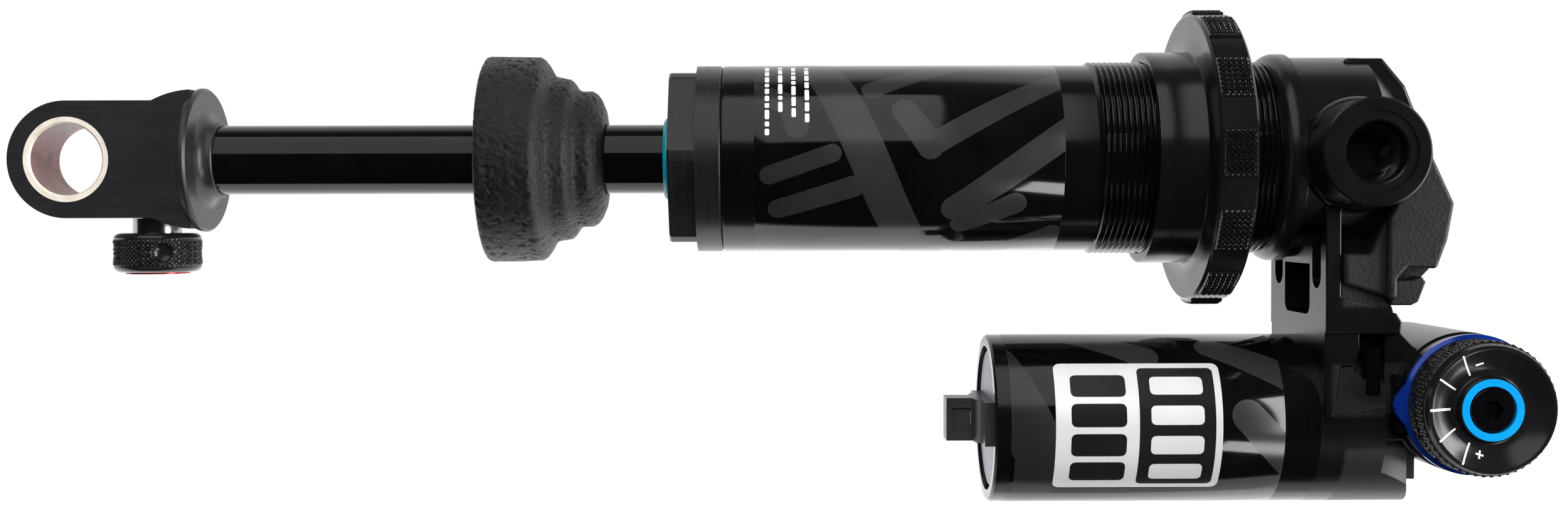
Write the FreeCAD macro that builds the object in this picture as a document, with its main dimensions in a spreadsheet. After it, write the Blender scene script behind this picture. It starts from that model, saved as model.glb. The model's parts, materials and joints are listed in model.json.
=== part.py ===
import FreeCAD, Part
import os
import re

import Sketcher
from FreeCAD import Placement, Rotation, Vector

# A rear shock with a trunnion mount. The origin is the middle of the eyelet bore, +X runs along
# the shaft to the trunnion, -Y is the side of the adjuster dials and +Z is away from the
# reservoir. Every length is in millimetres.

SIZES = {
    # whole shock
    "eye_to_trunnion": 225.0,
    "shaft_radius": 6.2,
    "damper_bore": 14.0,
    "reservoir_bore": 13.0,
    "reservoir_drop": 47.0,
    "running_gap": 0.05,
    "fit_gap": 0.02,
    # eyelet end
    "eye_radius": 10.4,
    "eye_half_width": 6.35,
    "eye_face_end": 17.6,
    "eye_flare_start": 15.2,
    "eye_flare_radius": 16.0,
    "neck_half_width": 3.9,
    "neck_start": 19.4,
    "neck_radius": 4.9,
    "flange_radius": 12.9,
    "flange_rim_start": 21.4,
    "flange_rim_round": 0.9,
    "flange_face": 23.25,
    "hub_radius": 9.2,
    "hub_end": 25.8,
    "hub_end_radius": 6.75,
    "hub_round": 2.5,
    "spigot_radius": 5.0,
    "spigot_start": 20.8,
    "bushing_bore": 6.35,
    "bushing_radius": 7.54,
    "bushing_edge": 0.35,
    # rebound adjuster
    "rebound_axis": 13.8,
    "cam_bore": 2.7,
    "cam_bore_top": 3.6,
    "cam_journal": 2.65,
    "cam_lobe": 2.1,
    "cam_offset": 0.5,
    "cam_half_height": 2.4,
    "cam_ring_top": -5.6,
    "cam_ring_bottom": -7.0,
    "cam_ring_seat": 1.9,
    "stem_radius": 4.2,
    "stem_top": -10.45,
    "stem_groove": 0.45,
    "stem_core": 2.0,
    "stem_end": -17.0,
    "rebound_knob_radius": 7.55,
    "rebound_knob_top": -13.1,
    "rebound_knob_bottom": -20.1,
    "rebound_knob_round": 1.4,
    "rebound_dimple": 1.6,
    "rebound_dimple_depth": 1.0,
    "accent_radius": 5.5,
    "accent_height": 0.3,
    "accent_sink": 0.7,
    "rebound_screw_radius": 2.0,
    "rebound_screw_bottom": -20.5,
    "rebound_screw_head": 1.3,
    "rebound_thread": 1.2,
    "rebound_screw_top": -13.5,
    "detent_radius": 3.45,
    "detent_bore": 0.75,
    "detent_ball": 0.7,
    "detent_depth": 2.6,
    "rod_radius": 1.9,
    "rod_bore": 2.2,
    "rod_foot": 15.55,
    "rod_foot_radius": 1.5,
    "rod_needle_start": 138.5,
    "rod_needle": 1.1,
    "rod_end": 141.7,
    "needle_seat": 1.4,
    "needle_seat_start": 140.6,
    # bump stop
    "bumper_start": 73.95,
    "bumper_radius": 18.57,
    "bumper_waist": 18.35,
    "bumper_waist_end": 83.7,
    "bumper_step": 14.9,
    "bumper_step_start": 85.9,
    "bumper_step_end": 88.8,
    "bumper_nose": 12.3,
    "bumper_nose_start": 90.6,
    "bumper_nose_end": 92.65,
    "bumper_end": 95.1,
    "bumper_tip": 7.0,
    "bumper_bore": 6.3,
    # seal head
    "seal_face": 106.9,
    "seal_flats_end": 111.65,
    "seal_flats": 14.75,
    "tube_start": 116.2,
    "tube_radius": 16.65,
    "tube_edge": 0.35,
    "seal_spigot_end": 122.3,
    "seal_ring_start": 117.9,
    "seal_ring_end": 119.7,
    "seal_ring_seat": 12.5,
    "wiper_start": 105.6,
    "wiper_radius": 7.35,
    "wiper_lip": 6.9,
    "wiper_seat_end": 108.7,
    "rod_seal_start": 109.7,
    "rod_seal_end": 112.3,
    "rod_seal_radius": 8.6,
    "guide_start": 113.3,
    "guide_end": 121.3,
    "guide_radius": 7.4,
    "guide_bore": 6.25,
    "land_bore": 6.5,
    # damper tube
    "thread_start": 181.1,
    "thread_radius": 17.2,
    "thread_end": 212.3,
    "thread_edge": 0.5,
    "tube_spigot": 16.1,
    "tube_end": 220.7,
    "tube_ring_start": 216.1,
    "tube_ring_end": 217.7,
    "tube_ring_seat": 15.0,
    # piston
    "shaft_shoulder": 129.3,
    "piston_stud": 4.0,
    "piston_start": 130.9,
    "piston_end": 139.9,
    "piston_radius": 13.7,
    "band_start": 133.3,
    "band_end": 137.5,
    "band_seat": 13.0,
    "band_radius": 13.95,
    "port_radius": 1.7,
    "port_circle": 8.6,
    "shim_step": 0.4,
    "shim_radius": 11.2,
    "shim_shrink": 1.7,
    "nut_start": 141.5,
    "nut_flats": 6.5,
    "stud_end": 147.1,
    "nut_end": 146.7,
    "top_out_start": 122.9,
    "top_out_end": 128.1,
    "top_out_radius": 9.6,
    # trunnion head
    "head_start": 212.6,
    "head_collar": 18.6,
    "head_collar_start": 215,
    "head_collar_end": 216.4,
    "head_radius": 17.95,
    "head_step": 0.35,
    "head_cone_start": 230.0,
    "head_cone_end": 234.0,
    "head_cone_radius": 13.9,
    "head_socket": 16.15,
    "head_bore_end": 224.7,
    "trunnion_half_width": 27.0,
    "boss_radius": 9.15,
    "boss_root_radius": 9.9,
    "boss_root": 17.4,
    "boss_edge": 0.35,
    "boss_step_radius": 6.95,
    "boss_step": 0.25,
    "boss_mouth": 5.15,
    "boss_mouth_depth": 3.4,
    "boss_thread": 4.5,
    "boss_floor": 15.6,
    "rib_half_width": 7.5,
    "bridge_face": 220.15,
    "slot_depth": 4.5,
    "slot_inner": 8.5,
    "slot_outer": 13.2,
    "slot_bottom": -23.2,
    "window_half_width": 7.2,
    "window_bottom": -28.0,
    "slot_open": -19.0,
    "slot_top": -12.0,
    "slot_round": 2.0,
    "forging_round": 0.75,
    "machined_round": 0.35,
    "block_half_width": 17.95,
    "shelf_half_width": 16.9,
    "strip_half_width": 16.1,
    "core_half_width": 10.5,
    "ledge_half_width": 15.2,
    "hook_half_width": 17.0,
    "web_half_width": 13.8,
    "foot_half_width": 15.6,
    "post_half_width": 13.2,
    "neck_half_width": 9.0,
    "arm_half_width": 14.5,
    "arm_band_half_width": 14.9,
    "arm_underside_half_width": 13.6,
    "chin_middle": -56.0,
    "chin_height": 12.4,
    "chin_side_bend": 20.0,
    "chin_end_bend": 24.0,
    "port_bore": 2.4,
    "port_station": 228.0,
    "bridge_port_top": -8.0,
    "bridge_port_level": -36.8,
    "plug_radius": 1.55,
    "plug_station": 228.9,
    "plug_side": -13.6,
    "plug_top": -33.2,
    "plug_foot": -41.5,
    # reservoir
    "reservoir_radius": 15.05,
    "reservoir_start": 163.5,
    "reservoir_shoulder": 219.8,
    "reservoir_spigot": 14.1,
    "reservoir_end": 225.7,
    "reservoir_ring_start": 222.1,
    "reservoir_ring_end": 223.7,
    "reservoir_ring_seat": 13.5,
    "reservoir_edge": 0.4,
    "cap_face": 164.1,
    "cap_radius": 12.3,
    "cap_flange": 12.95,
    "cap_flange_start": 166.1,
    "cap_end": 173.7,
    "cap_ring_start": 169.7,
    "cap_ring_end": 171.6,
    "cap_ring_seat": 11.6,
    "clip_start": 164.7,
    "clip_end": 165.9,
    "clip_radius": 13.7,
    "clip_bore": 12.45,
    "valve_bore": 2.6,
    "valve_radius": 2.5,
    "valve_tip": 160.9,
    "valve_end": 174.9,
    "valve_shoulder": 3.4,
    "valve_seat": 166.9,
    "cover_tip": 156.2,
    "cover_half_height": 3.85,
    "cover_half_width": 2.8,
    "cover_flare": 161,
    "cover_foot": 162.2,
    "cover_foot_half_width": 10.6,
    "cover_flare_radius": 4.2,
    "cover_bore_depth": 166.9,
    "cover_pocket_start": 157.3,
    "cover_pocket_end": 160.6,
    "cover_pocket_half_height": 2.1,
    "cover_pocket_depth": 0.9,
    "piston_ifp_start": 196.7,
    "piston_ifp_end": 207.7,
    "ifp_radius": 12.95,
    "ifp_dish": 9.6,
    "ifp_dish_depth": 6.5,
    "ifp_ring_start": 201.1,
    "ifp_ring_end": 203.5,
    "ifp_ring_seat": 11.2,
    # spring preload collar
    "collar_start": 191,
    "collar_face": 199.4,
    "collar_end": 206.0,
    "collar_sleeve": 18.95,
    "collar_edge": 0.4,
    "collar_ring": 25.7,
    "collar_pad": 26.45,
    "collar_pad_half_angle": 8.5,
    "collar_pads": 12,
    "collar_pad_inset": 0.5,
    "insert_start": 200.9,
    "insert_end": 203.6,
    "insert_radius": 19.0,
    "insert_bore": 17.27,
    # compression adjusters
    "dial_x": 244.8,
    "dial_z": -42.9,
    "valve_body_radius": 8.5,
    "valve_body_back": 8.5,
    "base_face": 14.2,
    "base_radius": 11.2,
    "boss_dial_radius": 12.2,
    "boss_dial_back": 13.5,
    "index_radius": 11.9,
    "index_end": 16.9,
    "index_lug_reach": 12.7,
    "index_lug_half": 5.0,
    "hsc_start": 17.2,
    "hsc_radius": 11.5,
    "hsc_end": 21.2,
    "hsc_ring_radius": 12.1,
    "hsc_ring_end": 18.5,
    "hsc_ring_seat": 11.0,
    "hsc_pointer_reach": 13.7,
    "hsc_pointer_half": 1.4,
    "hsc_bore": 3.6,
    "hsc_stem_bore": 2.1,
    "hsc_stem_back": 6.0,
    "lsc_start": 21.6,
    "lsc_knurl_radius": 11.5,
    "lsc_knurl_end": 24.6,
    "lsc_rim_radius": 10.7,
    "lsc_face": 26.2,
    "lsc_dish_radius": 9.95,
    "lsc_dish_depth": 1.9,
    "lsc_hub_radius": 5.45,
    "lsc_hub_face": 25.9,
    "lsc_ring_radius": 5.2,
    "lsc_ring_bore": 3.95,
    "lsc_ring_depth": 0.8,
    "lsc_screw_radius": 3.65,
    "lsc_screw_face": 26.0,
    "lsc_screw_seat": 23.8,
    "lsc_screw_thread": 1.4,
    "lsc_screw_end": 18.4,
    "hex_socket": 1.45,
    "hex_socket_depth": 1.5,
    "needle_radius": 2.0,
    "needle_back": 2.0,
    "needle_tip": 0.9,
    "click_circle": 7.4,
    "click_bore": 0.95,
    "click_ball": 0.9,
    "click_depth": 2.2,
    "valve_shim_radius": 6.6,
    "valve_piston_radius": 7.0,
    "valve_piston_back": 7.4,
    "valve_piston_front": 2.8,
    "valve_pocket_floor": 0.6,
}

# Outlines of the head's forging, each corner as (along X, up Z); the chin's corners are (along X, across Y).
OUTLINES = {
    "rib": [(226, -9), (242, -9), (242, 0.5), (238.6, 8.1), (236.9, 12.4), (232.8, 17.3), (226, 17.3)],
    "block": [(230.1, -24.9), (230.1, -11), (232.2, -7), (232.2, 3.5), (235.9, 3.5), (241.5, -8.5),
              (240.4, -14.7), (238.6, -19.6), (233.6, -19.4), (231.9, -21.4), (231.9, -24.9)],
    "shelf": [(222.9, -17), (227.5, -17), (229.9, -11.2), (231.6, -11.2), (231.6, -24.9), (223.1, -22.3)],
    "hook": [(231, -25.9), (231.2, -21.7), (234.7, -21.6), (236.2, -20.9), (237, -21.9), (235.7, -25.3),
             (234.5, -25.9)],
    "web": [(230, -25.4), (230, -17), (239.4, -17), (238.7, -19.7), (237, -21.5), (235.4, -25.2),
            (234, -25.6)],
    "strip": [(220.15, -8), (222.8, -8), (222.8, -24.5), (226.8, -25.5), (232.4, -27.4), (233.3, -28.8),
              (233, -30.95), (220.15, -30.95)],
    "core": [(221, -6), (234, -6), (232.5, -30), (221, -30)],
    "ledge": [(222.5, -21.5), (231, -23.8), (232, -27.2), (226.8, -25.9), (222.5, -24.9)],
    "foot": [(220.15, -30.2), (226.2, -30.2), (226.2, -33.4), (225.4, -36.4), (222.9, -36.4),
             (221.9, -45.3), (220.15, -45.3)],
    "post": [(231.3, -30.2), (233.1, -30.2), (234.3, -31), (236.8, -33.6), (238.4, -36), (238.4, -41),
             (231.3, -41)],
    "neck": [(220.5, -29), (232.8, -29), (236.4, -33.4), (238.2, -37), (238.2, -57), (220.5, -57)],
    "arm": [(221.8, -45.3), (223.1, -36.5), (225.5, -36.5), (225.8, -38.4), (228.2, -39.1), (232.6, -39.8),
            (236.6, -40.4), (236.6, -43.2), (232.2, -43.1)],
    "arm_band": [(222, -45), (232.2, -42.9), (236.6, -43), (236.6, -44.9), (232.2, -44.8), (222.5, -47)],
    "arm_underside": [(222.6, -46.6), (232.2, -44.5), (237, -44.5), (237, -49.5), (232, -49.6),
                      (228, -50.1), (224.6, -50.9), (222.9, -49.5)],
    "chin": [(223.6, -13.8), (225, -13), (236.2, -10.6), (238.2, 0), (236.2, 10.6), (225, 13),
             (223.6, 13.8)],
}
for outline_name, outline_corners in OUTLINES.items():
    for corner_number, (across, up) in enumerate(outline_corners, start=1):
        SIZES[f"{outline_name}_across_{corner_number}"] = across
        SIZES[f"{outline_name}_up_{corner_number}"] = up

AXIS_X = Rotation()
AXIS_OUT = Rotation(Vector(0, 0, 1), -90)  # a piece's own +X points to -Y, towards the dials' side
AXIS_BACK = Rotation(Vector(0, 0, 1), 90)
AXIS_DOWN = Rotation(Vector(0, 1, 0), 90)  # a piece's own +X points to -Z
PISTON_PORTS = 6
SHIMS = 3

doc = FreeCAD.newDocument("rear_shock")
sheet = doc.addObject("Spreadsheet::Sheet", "sizes")
for row, (name, number) in enumerate(SIZES.items(), start=1):
    sheet.set(f"A{row}", name)
    sheet.set(f"B{row}", str(number))
    sheet.setAlias(f"B{row}", name)
doc.recompute()

pieces = []


def formula(text):
    """The same formula with each size's name led to its cell."""
    return re.sub(r"[a-z][a-z_0-9]*", lambda word: f"sizes.{word[0]}" if word[0] in SIZES else word[0],
                  str(text))


def value(text):
    return float(sheet.evalExpression(formula(text)))


# ---- sketches and features ----

def new_body(label, turn=AXIS_X, base=("0", "0", "0")):
    body = doc.addObject("PartDesign::Body", label)
    body.Label = label
    body.Placement = Placement(Vector(*[value(part) for part in base]), turn)
    for axis, part in zip("xyz", base):
        body.setExpression(f"Placement.Base.{axis}", formula(part))
    return body


def new_sketch(body, plane, offset="0"):
    sketch = body.newObject("Sketcher::SketchObject", "sketch")
    side = [item for item in body.Origin.OriginFeatures if item.Role == plane][0]
    sketch.AttachmentSupport = [(side, "")]
    sketch.MapMode = "FlatFace"
    sketch.AttachmentOffset = Placement(Vector(0, 0, value(offset)), Rotation())
    sketch.setExpression("AttachmentOffset.Base.z", formula(offset))
    return sketch


def pin_point(sketch, line, end, corner):
    """Hold one end of a line at a corner whose two coordinates are formulas."""
    for kind, text in zip(("DistanceX", "DistanceY"), corner):
        held = sketch.addConstraint(Sketcher.Constraint(kind, -1, 1, line, end, value(text)))
        sketch.setExpression(f"Constraints[{held}]", formula(text))


def draw_outline(sketch, corners):
    """A closed outline. A corner is (across, up) or (across, up, radius): the radius bends the
    line that leaves that corner, to the left of its travel, or to the right when negative."""
    spots = [Vector(value(corner[0]), value(corner[1]), 0) for corner in corners]
    first = sketch.GeometryCount
    for number, corner in enumerate(corners):
        start, end = spots[number], spots[(number + 1) % len(spots)]
        if len(corner) == 2:
            sketch.addGeometry(Part.LineSegment(start, end), False)
            continue
        radius = value(corner[2])
        chord = end - start
        aside = Vector(-chord.y, chord.x, 0).normalize()
        rise = abs(radius) - (radius ** 2 - chord.Length ** 2 / 4) ** 0.5
        middle = (start + end) / 2 + aside * (rise if radius > 0 else -rise)
        sketch.addGeometry(Part.Arc(start, middle, end), False)
    for number, corner in enumerate(corners):
        line = first + number
        after = first + (number + 1) % len(corners)
        bent = len(corner) == 3
        turned_over = bent and value(corner[2]) > 0
        own_end = 1 if turned_over else 2
        after_bent = len(corners[(number + 1) % len(corners)]) == 3
        after_left = after_bent and value(corners[(number + 1) % len(corners)][2]) > 0
        sketch.addConstraint(Sketcher.Constraint("Coincident", line, own_end, after, 2 if after_left else 1))
        pin_point(sketch, line, own_end, corners[(number + 1) % len(corners)])
        if bent:
            size = corner[2] if turned_over else f"-({corner[2]})"
            held = sketch.addConstraint(Sketcher.Constraint("Radius", line, value(size)))
            sketch.setExpression(f"Constraints[{held}]", formula(size))


def draw_circle(sketch, across, up, radius):
    spot = Vector(value(across), value(up), 0)
    circle = sketch.addGeometry(Part.Circle(spot, Vector(0, 0, 1), value(radius)), False)
    pin_point(sketch, circle, 3, (across, up))
    held = sketch.addConstraint(Sketcher.Constraint("Radius", circle, value(radius)))
    sketch.setExpression(f"Constraints[{held}]", formula(radius))


def turn_round(body, corners, cut=False, along="H_Axis"):
    """Turn an outline about the piece's own X axis: each corner is (station, radius)."""
    sketch = new_sketch(body, "XY_Plane")
    draw_outline(sketch, corners)
    feature = body.newObject("PartDesign::Groove" if cut else "PartDesign::Revolution", "turned")
    feature.Profile = sketch
    feature.ReferenceAxis = (sketch, [along])
    feature.Angle = 360
    return feature


def push(body, sketch, length, cut=False, both=True, backwards=False):
    """Pad or pocket a sketch, half of the length to each side when both is set."""
    feature = body.newObject("PartDesign::Pocket" if cut else "PartDesign::Pad", "pushed")
    feature.Profile = sketch
    feature.setExpression("Length", formula(length))
    feature.Midplane = both
    feature.Reversed = backwards
    return feature


def slab(body, plane, corners, length, cut=False, offset="0", both=True, backwards=False):
    sketch = new_sketch(body, plane, offset)
    draw_outline(sketch, corners)
    return push(body, sketch, length, cut, both, backwards)


def drill(body, plane, spot, radius, length, cut=True, offset="0", both=True, backwards=False):
    sketch = new_sketch(body, plane, offset)
    draw_circle(sketch, spot[0], spot[1], radius)
    return push(body, sketch, length, cut, both, backwards)


def ring_of(body, feature, count, axis="X_Axis"):
    """Repeat a feature round one of the body's own axes."""
    pattern = body.newObject("PartDesign::PolarPattern", "ring")
    pattern.Originals = [feature]
    line = [item for item in body.Origin.OriginFeatures if item.Role == axis][0]
    pattern.Axis = (line, [""])
    pattern.Angle = 360
    pattern.Occurrences = count
    body.Tip = pattern
    return pattern


def round_all(body, radius):
    doc.recompute()
    solid = body.Tip
    fillet = body.newObject("PartDesign::Fillet", "rounded")
    fillet.Base = (solid, [""])
    fillet.UseAllEdges = True
    fillet.setExpression("Radius", formula(radius))
    return fillet


def box_corners(left, right, low, high):
    return [(left, low), (right, low), (right, high), (left, high)]


def hexagon(flats):
    """Six corners of a hexagon about the origin, from half its width across flats."""
    side = f"{flats} / cos(30)"
    spread = [(1, 0), (0.5, 1), (-0.5, 1), (-1, 0), (-0.5, -1), (0.5, -1)]
    return [(f"{a} * {side}", f"{b} * ({flats})") for a, b in spread]


# ---- whole pieces ----

def keep(piece):
    pieces.append(piece)
    return piece


def turned(label, corners, turn=AXIS_X, base=("0", "0", "0")):
    body = new_body(label, turn, base)
    turn_round(body, corners)
    return body


def sleeve(label, start, end, bore, radius, turn=AXIS_X, base=("0", "0", "0")):
    return turned(label, [(start, bore), (end, bore), (end, radius), (start, radius)], turn, base)


def group(label, members):
    """Separate solids that share one node."""
    compound = doc.addObject("Part::Compound", label)
    compound.Label = label
    compound.Links = members
    return compound


def joined(label, members):
    fuse = doc.addObject("Part::MultiFuse", label)
    fuse.Label = label
    fuse.Shapes = members
    fuse.Refine = True
    return fuse


def cut_from(label, base, tools):
    """Cut the tools away one after another; the last cut carries the label."""
    for number, tool in enumerate(tools, start=1):
        last = number == len(tools)
        cut = doc.addObject("Part::Cut", label if last else f"{label}_cut")
        cut.Base, cut.Tool = base, tool
        cut.Refine = False
        base = cut
    base.Label = label
    return base


def rod(label, start, end, radius, turn=AXIS_X, base=("0", "0", "0")):
    return turned(label, [(start, "0"), (end, "0"), (end, radius), (start, radius)], turn, base)


def corners_of(name):
    """The corners of one named outline, led to their cells."""
    return [(f"{name}_across_{number}", f"{name}_up_{number}")
            for number in range(1, len(OUTLINES[name]) + 1)]


def prism(name, rounding=None):
    """One slab of the head's forging: its outline in the X-Z plane, as wide to each side of it."""
    body = new_body(f"head_{name}")
    slab(body, "XZ_Plane", corners_of(name), f"2 * {name}_half_width")
    if rounding:
        round_all(body, rounding)
    return body


# ---- eyelet end ----

def eyelet_end():
    body = new_body("eyelet_end")
    top, low = "eye_radius", "-eye_radius"
    flared = "flange_radius - 0.6"
    slab(body, "XZ_Plane", [("0", low), ("eye_flare_start", low, "-eye_flare_radius"),
                            ("flange_rim_start + 0.6", f"-({flared})"), ("flange_rim_start + 0.6", flared,
                             "-eye_flare_radius"), ("eye_flare_start", top), ("0", top)],
         "2 * eye_half_width")
    drill(body, "XZ_Plane", ("0", "0"), "eye_radius", "2 * eye_half_width", cut=False)
    for side in ("1", "-1"):
        facet = [("eye_face_end", f"{side} * eye_half_width"), ("neck_start", f"{side} * neck_half_width"),
                 ("flange_face + 1", f"{side} * neck_half_width"),
                 ("flange_face + 1", f"{side} * (eye_half_width + 1)"),
                 ("eye_face_end", f"{side} * (eye_half_width + 1)")]
        slab(body, "XY_Plane", facet, "4 * flange_radius", cut=True)
    turn_round(body, [
        ("eye_face_end", "0"), ("eye_face_end", "neck_radius"),
        ("eye_face_end + 0.9", "neck_radius", "-11"), ("flange_rim_start",
                                                       "flange_radius - flange_rim_round"),
        ("flange_rim_start + 0.35", "flange_radius - 0.2"), ("flange_rim_start + 0.9", "flange_radius"),
        ("flange_face - 0.4", "flange_radius"), ("flange_face", "flange_radius - 0.4"),
        ("flange_face", "hub_radius", "-hub_round"), ("hub_end - 0.2", "hub_end_radius"),
        ("hub_end", "hub_end_radius - 0.2"), ("hub_end", "0")])
    turn_round(body, [("spigot_start", "0"), ("hub_end + 1", "0"),
                      ("hub_end + 1", "spigot_radius + fit_gap"),
                      ("spigot_start", "spigot_radius + fit_gap")], cut=True)
    turn_round(body, [("rebound_axis", "0"), ("spigot_start + 1", "0"), ("spigot_start + 1", "rod_bore"),
                      ("rebound_axis", "rod_bore")], cut=True)
    drill(body, "XZ_Plane", ("0", "0"), "bushing_radius", "4 * eye_half_width")
    drill(body, "XY_Plane", ("rebound_axis", "0"), "cam_bore", "eye_radius + cam_bore_top + 1",
          offset="cam_bore_top", both=False)
    drill(body, "XY_Plane", ("rebound_axis", "0"), "stem_radius + 0.2", "flange_radius - eye_radius + 1",
          offset="-eye_radius", both=False)
    drill(body, "XY_Plane", ("rebound_axis", "detent_radius"), "detent_bore", "detent_depth",
          offset="-eye_radius", both=False, backwards=True)
    drill(body, "XY_Plane", ("rebound_axis", "-detent_radius"), "detent_bore", "detent_depth",
          offset="-eye_radius", both=False, backwards=True)
    return body


def eyelet_bushing():
    edge = "bushing_edge"
    near, far = "eye_half_width", "-eye_half_width"
    return turned("eyelet_bushing", [
        (far, f"bushing_bore + {edge}"), (f"{far} + {edge}", "bushing_bore"),
        (f"{near} - {edge}", "bushing_bore"),
        (near, f"bushing_bore + {edge}"), (near, "bushing_radius"), (far, "bushing_radius")], AXIS_OUT)


def shaft():
    return turned("shaft", [
        ("spigot_start", "rod_bore"), ("needle_seat_start", "rod_bore"),
        ("needle_seat_start", "needle_seat"),
        ("stud_end", "needle_seat"), ("stud_end", "piston_stud"), ("shaft_shoulder", "piston_stud"),
        ("shaft_shoulder", "shaft_radius"), ("hub_end", "shaft_radius"), ("hub_end", "spigot_radius"),
        ("spigot_start", "spigot_radius")])


# ---- rebound adjuster ----

def rebound_pieces():
    down = ("rebound_axis", "0", "0")
    cam = new_body("rebound_cam", AXIS_DOWN, down)
    turn_round(cam, [
        ("cam_half_height", "0"), ("-stem_end", "0"), ("-stem_end", "stem_core"),
        ("-rebound_knob_top", "stem_core"), ("-rebound_knob_top", "stem_radius"),
        ("-stem_top", "stem_radius"), ("-stem_top", "stem_radius - 0.1"),
        ("-stem_top + stem_groove", "stem_radius - 0.1"), ("-stem_top + stem_groove", "cam_journal"),
        ("-cam_ring_bottom", "cam_journal"), ("-cam_ring_bottom", "cam_ring_seat"),
        ("-cam_ring_top", "cam_ring_seat"), ("-cam_ring_top", "cam_journal"),
        ("cam_half_height", "cam_journal")])
    drill(cam, "YZ_Plane", ("0", "-cam_offset"), "cam_lobe", "2 * cam_half_height + 0.02", cut=False)
    drill(cam, "YZ_Plane", ("0", "0"), "rebound_thread", "4", offset="-stem_end", both=False)
    ring = sleeve("rebound_cam_ring", "-cam_ring_bottom - 0.1", "-cam_ring_top + 0.1", "cam_ring_seat",
                  "cam_bore - fit_gap", AXIS_DOWN, down)
    knob = new_body("rebound_knob", AXIS_DOWN, down)
    corner = "rebound_knob_round"
    turn_round(knob, [
        ("-rebound_knob_top", "stem_core + fit_gap"), ("-rebound_knob_top",
                                                       f"rebound_knob_radius - {corner}", corner),
        (f"-rebound_knob_top + {corner}", "rebound_knob_radius"),
        (f"-rebound_knob_bottom - {corner}", "rebound_knob_radius", corner),
        ("-rebound_knob_bottom", f"rebound_knob_radius - {corner}"),
        ("-rebound_knob_bottom", "accent_radius"),
        ("-rebound_knob_bottom - accent_sink", "accent_radius"), ("-rebound_knob_bottom - accent_sink",
         "rebound_screw_radius"), ("-rebound_knob_bottom - accent_sink - rebound_screw_head",
         "rebound_screw_radius"), ("-rebound_knob_bottom - accent_sink - rebound_screw_head",
         "rebound_thread + 0.1"), ("-stem_end + 0.1", "rebound_thread + 0.1"),
        ("-stem_end + 0.1", "stem_core + fit_gap")])
    dimple = drill(knob, "XY_Plane", ("(-rebound_knob_top - rebound_knob_bottom) / 2", "0"),
                   "rebound_dimple",
                   "2 * rebound_dimple_depth", offset="rebound_knob_radius")
    ring_of(knob, dimple, 4)
    accent = sleeve("rebound_accent", "-rebound_knob_bottom - accent_sink",
                    "-rebound_knob_bottom + accent_height",
                    "rebound_screw_radius + fit_gap", "accent_radius", AXIS_DOWN, down)
    screw = new_body("rebound_screw", AXIS_DOWN, down)
    head = "-rebound_knob_bottom - accent_sink - rebound_screw_head"
    turn_round(screw, [("-rebound_screw_top + 0.4", "0"), ("-rebound_screw_bottom", "0"),
                       ("-rebound_screw_bottom", "rebound_screw_radius - 0.1"),
                       (head, "rebound_screw_radius - 0.1"), (head, "rebound_thread - fit_gap"),
                       ("-rebound_screw_top + 0.4", "rebound_thread - fit_gap")])
    slab(screw, "YZ_Plane", hexagon("1.0"), "hex_socket_depth", cut=True, offset="-rebound_screw_bottom",
         both=False)
    keep(cam)
    keep(ring)
    keep(knob)
    keep(accent)
    keep(screw)
    balls, springs = [], []
    for number, side in enumerate(("detent_radius", "-detent_radius")):
        ball = doc.addObject("Part::Sphere", f"rebound_ball_{number}")
        ball.setExpression("Radius", formula("detent_ball"))
        ball.setExpression("Placement.Base.x", formula("rebound_axis"))
        ball.setExpression("Placement.Base.y", formula(side))
        ball.setExpression("Placement.Base.z", formula("-eye_radius + detent_ball - 0.4"))
        balls.append(ball)
        spot = ("rebound_axis", side, "0")
        springs.append(sleeve(f"rebound_spring_{number}", "eye_radius - detent_depth", "eye_radius - 1.05",
                              "detent_ball - 0.3", "detent_ball", AXIS_DOWN, spot))
    keep(group("rebound_detent_balls", balls))
    keep(group("rebound_detent_springs", springs))
    keep(turned("rebound_rod", [
        ("rod_foot", "0"), ("rod_end", "0"), ("rod_end", "rod_needle"), ("rod_needle_start", "rod_needle"),
        ("rod_needle_start - 0.8", "rod_radius"), ("rod_foot + 0.8", "rod_radius"),
        ("rod_foot", "rod_foot_radius")]))


# ---- bump stop ----

def bump_stop():
    return turned("bump_stop", [
        ("bumper_start", "bumper_bore"), ("bumper_end", "bumper_bore"), ("bumper_end", "bumper_tip", "-6.5"),
        ("bumper_nose_end", "bumper_nose"), ("bumper_nose_start", "bumper_nose"),
        ("bumper_step_end", "bumper_step - 0.5"), ("bumper_step_start + 0.5", "bumper_step"),
        ("bumper_waist_end + 1.3", "bumper_step + 2", "-3"), ("bumper_waist_end", "bumper_waist", "90"),
        ("bumper_start + 0.6", "bumper_radius"), ("bumper_start", "bumper_radius - 0.6")])


# ---- seal head ----

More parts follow.
